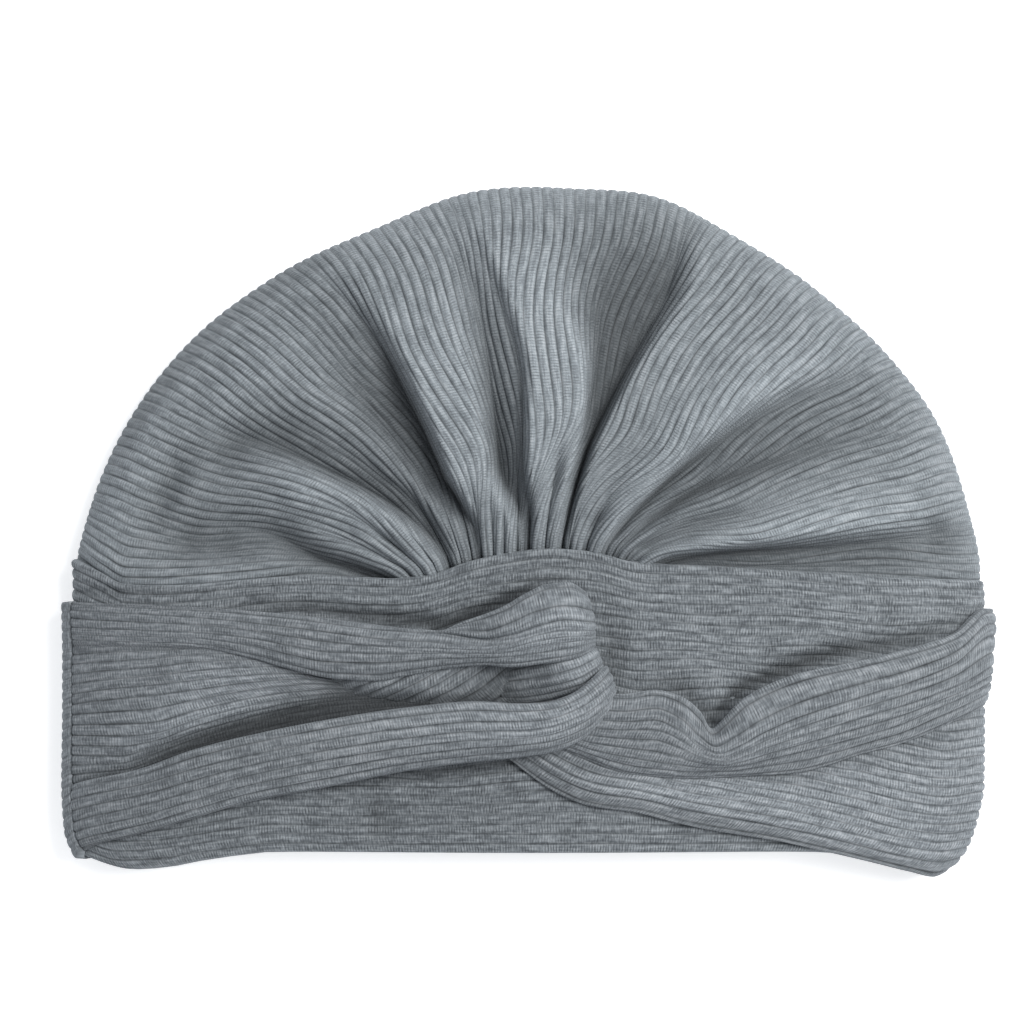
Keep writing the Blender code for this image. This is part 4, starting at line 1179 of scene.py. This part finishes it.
# %% Left strap: flat sheet under the roll
FLAT = table(
    "rib points",
    (0, [
        (76, 646, 2.0), (150, 643, 1.6), (194, 643, 1.6), (240, 646, 1.4), (290, 658, 1.2),
        (330, 668, 0.8), (380, 676, 0.6)]),
    (2.2, [
        (76, 668, 2.6), (150, 661, 2.9), (200, 656, 3.0), (250, 655, 2.8), (290, 661, 2.4),
        (330, 672, 1.2), (385, 682, 0.8)]),
    (5.6, [
        (76, 702, 2.6), (150, 692, 3.2), (200, 686, 4.0), (250, 680, 4.0), (300, 677, 3.0),
        (350, 684, 1.2), (410, 690, 0.5)]),
    (9.1, [
        (76, 738, 2.6), (120, 738, 3.4), (150, 736, 4.0), (200, 720, 4.2), (250, 707, 3.6),
        (300, 698, 2.2), (350, 694, 0.8), (400, 695, 0.4), (450, 697, 0.4)]),
    (11.7, [
        (76, 764, 2.6), (120, 763, 2.6), (150, 754, 1.8), (200, 736, 1.0), (250, 722, 0.6),
        (300, 710, 0.4), (350, 703, 0.4), (400, 701, 0.4), (450, 700, 0.4)]),
    (14.3, [
        (76, 790, 1.6), (120, 779, 0.8), (160, 768, 0.3), (200, 755, 0.2), (250, 742, 0.2),
        (300, 731, 0.2), (350, 720, 0.3), (400, 712, 0.4), (450, 707, 0.4)]),
)
flat = strap("left_wrap_sheet", FLAT, 160, start_turn=LEFT_SEAM, shadow=1.9)

# %% Left strap: twisted underside of the roll
UNDERSIDE = table(
    "rib points",
    (0, [
        (318, 677, 0.6), (336, 673, 2.4), (358, 662, 3.0)]),
    (1.4, [
        (338, 688, 0.6), (362, 679, 3.8), (394, 662, 4.2)]),
    (2.8, [
        (362, 695, 0.6), (388, 684, 4.6), (428, 661, 4.8)]),
    (4.2, [
        (388, 699, 0.6), (414, 687, 4.6), (460, 661, 4.8)]),
    (5.6, [
        (416, 702, 0.4), (444, 689, 3.6), (488, 662, 3.8)]),
    (6.8, [
        (446, 704, 0.3), (470, 692, 1.8), (508, 664, 2.0)]),
    (7.8, [
        (476, 706, 0.2), (496, 695, 0.6), (526, 668, 0.8)]),
    (8.6, [
        (502, 710, 0.2), (518, 699, 0.3), (540, 680, 0.4)]),
)
underside_fold = strap("left_wrap_underside", UNDERSIDE, 60, crest_highlight=0.1, slant=1.9)

# %% Left strap: inner fold of the loop
INNER_FOLD = table(
    "rib points",
    (0, [
        (497, 661, 0.4), (526, 656, 3.0), (565, 648, 6.6), (588, 640, 6.0)]),
    (1.6, [
        (497, 678, 0.4), (527, 674, 3.4), (570, 665, 8.6), (598, 653, 7.2)]),
    (2.7, [
        (499, 690, 0.3), (530, 687, 3.2), (575, 677, 8.0), (602, 662, 6.5)]),
    (4, [
        (503, 699, 0.3), (535, 696, 2.4), (580, 685, 6.0), (604, 668, 5.0)]),
    (5.4, [
        (510, 707, 0.2), (543, 704, 1.2), (583, 691, 3.0), (606, 672, 3.0)]),
)
inner_fold = strap("left_wrap_inner_fold", INNER_FOLD, 60, end_run=0.10)

# %% Left strap: lower strip
STRIP = table(
    "rib points",
    (0, [
        (76, 790, 0.4), (137, 777, 0.3), (194, 759, 0.2), (251, 744, 0.2), (330, 728, 0.3),
        (409, 716, 0.6), (478, 710, 1.0), (520, 712, 1.6), (550, 709, 2.0), (577, 696, 2.5),
        (600, 675, 3.0)]),
    (2, [
        (76, 787, 2.6), (137, 771, 4.2), (194, 751, 5.4), (251, 736, 6.4), (330, 720, 7.6),
        (409, 708, 8.6), (478, 702, 9.6), (518, 704, 10.2), (545, 703, 10.2), (573, 694, 9.6),
        (594, 678, 8.4), (605, 666, 7.0)]),
    (3.8, [
        (76, 800, 3.0), (137, 785, 5.0), (194, 768, 6.4), (251, 754, 7.6), (330, 738, 9.0),
        (409, 726, 10.2), (478, 720, 11.2), (518, 720, 11.8), (545, 718, 11.8), (580, 706, 11.0),
        (602, 690, 9.2), (613, 680, 6.5)]),
    (5.6, [
        (76, 820, 2.8), (137, 804, 4.4), (194, 788, 5.8), (251, 772, 7.0), (330, 756, 8.4),
        (409, 744, 9.5), (478, 737, 10.5), (518, 736, 11.0), (545, 733, 11.0), (582, 720, 10.0),
        (606, 703, 8.5), (616, 692, 6.0)]),
    (7.4, [
        (76, 838, 2.6), (137, 822, 3.8), (194, 805, 4.8), (251, 789, 5.6), (330, 773, 6.6),
        (409, 759, 7.5), (478, 751, 8.3), (518, 748, 8.8), (545, 745, 8.8), (580, 733, 8.0),
        (604, 714, 7.0), (614, 702, 5.0)]),
    (9.2, [
        (76, 851, 1.4), (137, 835, 1.8), (194, 818, 2.2), (251, 801, 2.6), (330, 786, 3.0),
        (409, 770, 3.4), (478, 761, 3.8), (518, 757, 4.0), (545, 753, 4.0), (575, 743, 3.6),
        (598, 724, 3.4), (609, 709, 3.0)]),
    (10, [
        (76, 853, 0.5), (137, 833, 0.4), (194, 815, 0.5), (251, 798, 0.6), (330, 782, 0.8),
        (409, 767, 1.0), (478, 758, 1.2), (518, 754, 1.4), (545, 750, 1.4), (575, 740, 1.4),
        (598, 721, 1.4), (608, 706, 1.4)]),
)
strip = strap("left_wrap_strip", STRIP, 240, start_turn=LEFT_SEAM, end_run=0.03)

# %% [markdown]
# ### Right strap
#
# It comes out from under the loop as a narrow neck, is pinched once, and fans out to the right edge, where
# it turns under. Its lower sheet lies flat down to the hem.

# %% Right strap: upper roll
UPPER_ROLL = table(
    "rib points",
    (0, [
        (570, 700, 0.3), (598, 702, 0.3), (625, 702, 0.4), (652, 698, 0.5), (676, 704, 0.5),
        (696, 718, 0.4), (711, 736, 0.3), (726, 727, 0.4), (746, 708, 0.5), (799, 683, 0.5),
        (855, 671, 0.5), (912, 656, 0.5), (950, 643, 0.6), (984, 614, 0.6)]),
    (2.2, [
        (570, 692, 3.0), (598, 693, 4.2), (625, 694, 5.0), (654, 690, 5.4), (679, 696, 5.4),
        (699, 711, 3.4), (711, 729, 2.8), (724, 718, 5.2), (742, 699, 6.6), (797, 674, 7.0),
        (855, 662, 6.6), (912, 648, 5.8), (950, 636, 4.6), (984, 610, 2.0)]),
    (4.6, [
        (566, 714, 3.6), (596, 716, 5.4), (625, 718, 6.2), (654, 716, 6.8), (680, 727, 6.8),
        (698, 743, 5.4), (716, 752, 8.0), (738, 743, 8.8), (760, 730, 9.2), (800, 712, 9.2),
        (855, 694, 8.5), (912, 677, 7.2), (950, 661, 6.2), (984, 632, 4.2)]),
    (6.8, [
        (560, 727, 3.2), (592, 734, 5.0), (625, 737, 5.6), (654, 738, 6.2), (680, 747, 6.8),
        (700, 757, 7.6), (722, 762, 8.5), (745, 755, 8.8), (770, 745, 8.8), (800, 735, 8.6),
        (855, 718, 7.6), (912, 701, 6.4), (950, 687, 5.4), (983, 666, 4.4)]),
    (9.3, [
        (552, 737, 2.4), (578, 747, 3.6), (610, 756, 4.6), (640, 762, 5.0), (670, 766, 5.4),
        (700, 769, 5.6), (732, 768, 5.6), (770, 761, 5.6), (800, 755, 5.6), (855, 741, 5.2),
        (899, 728, 4.6), (945, 708, 4.4), (983, 687, 4.0)]),
    (11.6, [
        (545, 743, 1.4), (564, 750, 1.8), (589, 760, 2.0), (625, 773, 2.4), (654, 776, 2.6),
        (687, 778, 2.8), (732, 776, 2.8), (788, 773, 2.8), (826, 765, 2.8), (855, 755, 2.8),
        (899, 744, 2.6), (935, 730, 2.4), (960, 719, 2.2), (982, 706, 2.4)]),
    (12.5, [
        (543, 741, 0.6), (562, 747, 0.6), (590, 757, 0.6), (625, 769, 0.6), (654, 772, 0.6),
        (687, 774, 0.6), (732, 772, 0.6), (788, 769, 0.6), (826, 761, 0.6), (855, 751, 0.6),
        (899, 740, 0.6), (935, 726, 0.8), (960, 716, 1.0), (982, 704, 1.4)]),
)
upper_roll = strap("right_wrap_roll", UPPER_ROLL, 240, crest_highlight=0.15, end_turn=RIGHT_SEAM, end_height=0.0038)

# %% Right strap: lower sheet
LOWER_SHEET = table(
    "rib points",
    (0, [
        (541, 716, 0.3), (590, 728, 1.0), (640, 738, 1.2), (690, 748, 1.2), (711, 750, 1.2),
        (740, 744, 1.2), (790, 728, 1.2), (850, 712, 1.2), (905, 704, 1.2), (950, 701, 1.6),
        (980, 698, 2.2)]),
    (3, [
        (539, 718, 0.4), (590, 734, 1.1), (640, 744, 1.2), (690, 753, 1.2), (711, 755, 1.2),
        (740, 751, 1.2), (790, 739, 1.2), (850, 726, 1.2), (905, 724, 1.4), (945, 733, 2.2),
        (979, 728, 2.6)]),
    (6, [
        (537, 720, 0.5), (590, 740, 1.2), (640, 750, 1.3), (690, 759, 1.3), (711, 761, 1.3),
        (740, 759, 1.3), (790, 752, 1.3), (850, 745, 1.6), (905, 755, 2.6), (945, 761, 2.7),
        (978, 757, 2.6)]),
    (10, [
        (534, 723, 0.6), (588, 747, 1.4), (640, 758, 1.5), (690, 767, 1.6), (711, 769, 1.6),
        (740, 769, 1.6), (790, 769, 1.8), (850, 779, 2.9), (905, 792, 2.9), (945, 798, 2.8),
        (976, 794, 2.6)]),
    (13.4, [
        (527, 729, 0.8), (579, 752, 1.6), (603, 762, 1.8), (640, 769, 2.2), (690, 780, 2.8),
        (711, 783, 3.0), (740, 788, 3.1), (790, 797, 3.1), (850, 811, 3.0), (905, 825, 3.0),
        (945, 830, 2.8), (970, 827, 2.6)]),
    (16, [
        (516, 740, 0.8), (565, 772, 2.5), (598, 784, 2.8), (640, 791, 3.0), (690, 802, 3.2),
        (740, 811, 3.2), (790, 820, 3.2), (850, 834, 3.0), (905, 848, 3.0), (940, 853, 2.8),
        (962, 850, 2.6)]),
    (17.5, [
        (507, 750, 0.5), (558, 783, 1.6), (592, 797, 1.9), (640, 804, 2.1), (690, 816, 2.2),
        (740, 825, 2.3), (790, 835, 2.4), (850, 849, 2.5), (905, 863, 2.5), (936, 869, 2.4),
        (954, 865, 2.3)]),
    (18.4, [
        (503, 754, 0.4), (553, 790, 0.9), (589, 805, 1.1), (636, 812, 1.3), (679, 823, 1.4),
        (714, 830, 1.4), (780, 841, 1.5), (811, 848, 1.6), (862, 860, 1.6), (905, 871, 1.6),
        (933, 878, 1.6), (950, 873, 1.6)]),
    (19, [
        (505, 752, 0.2), (555, 787, 0.3), (590, 802, 0.3), (636, 809, 0.3), (679, 820, 0.3),
        (714, 827, 0.3), (780, 838, 0.3), (811, 845, 0.3), (862, 857, 0.3), (905, 868, 0.3),
        (933, 875, 0.3), (948, 871, 0.3)]),
)
lower_sheet = strap("right_wrap_sheet", LOWER_SHEET, 200, crest_highlight=0.65, shadow=0.6, end_turn=RIGHT_SEAM)

# %% [markdown]
# ### Back strap
#
# The same strap runs on round the left edge and under the back. Its cords run along it.

# %% Back strap
BACK_RIBS, BACK_RUNS = 26, 160
BACK_RELIEF = 0.45  # its cords are pressed flat under the hat
TURN_GAP = 0.6
BACK_WRAP_EDGES = table(
    "along top hem",
    (0.00, -0.195, -0.915), (0.05, -0.200, -0.940), (0.14, -0.225, -0.940), (0.22, -0.230, -0.905),
    (0.56, -0.230, -0.900), (0.85, -0.235, -0.905), (0.93, -0.240, -0.940), (1.00, -0.245, -0.950),
)
back_numbers = padded_numbers(rib_numbers(0, BACK_RIBS), 5)
back_along = np.linspace(0, 1, BACK_RUNS + 1)[:, None]
back_top = HALF_LENGTH * curve(BACK_WRAP_EDGES, "along", "top", back_along)
back_hem = HALF_LENGTH * curve(BACK_WRAP_EDGES, "along", "hem", back_along)
back_start, back_end = LEFT_SEAM + TURN_GAP, 360 + RIGHT_SEAM - TURN_GAP
back_turn = back_start + (back_end - back_start) * back_along
back_y = back_top + (back_hem - back_top) * back_numbers / BACK_RIBS
back_turn, back_y = np.broadcast_arrays(back_turn, back_y)
back_outer = band_point(back_turn, back_y, np.full(back_y.shape, LAYER_GAP + BACK_WRAP_WALL))
back_inner = band_point(back_turn, back_y, np.full(back_y.shape, LAYER_GAP))[::4, ::5]
back_strap = knit(
    "back_wrap_strap", back_outer, back_inner, back_numbers, BACK_RELIEF * local_pitch(back_outer),
    np.zeros(back_outer.shape[:2]), wrap_knit, (4, 5),
)
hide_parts("back_wrap")
report(back_strap)

# %% Stand-ins
for piece in (roll, flat, underside_fold, inner_fold, strip):
    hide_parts("left_wrap")
for piece in (upper_roll, lower_sheet):
    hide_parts("right_wrap")
cloths = [crown, band, roll, flat, underside_fold, inner_fold, strip, upper_roll, lower_sheet, back_strap]
for piece in cloths:
    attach(piece, "root")
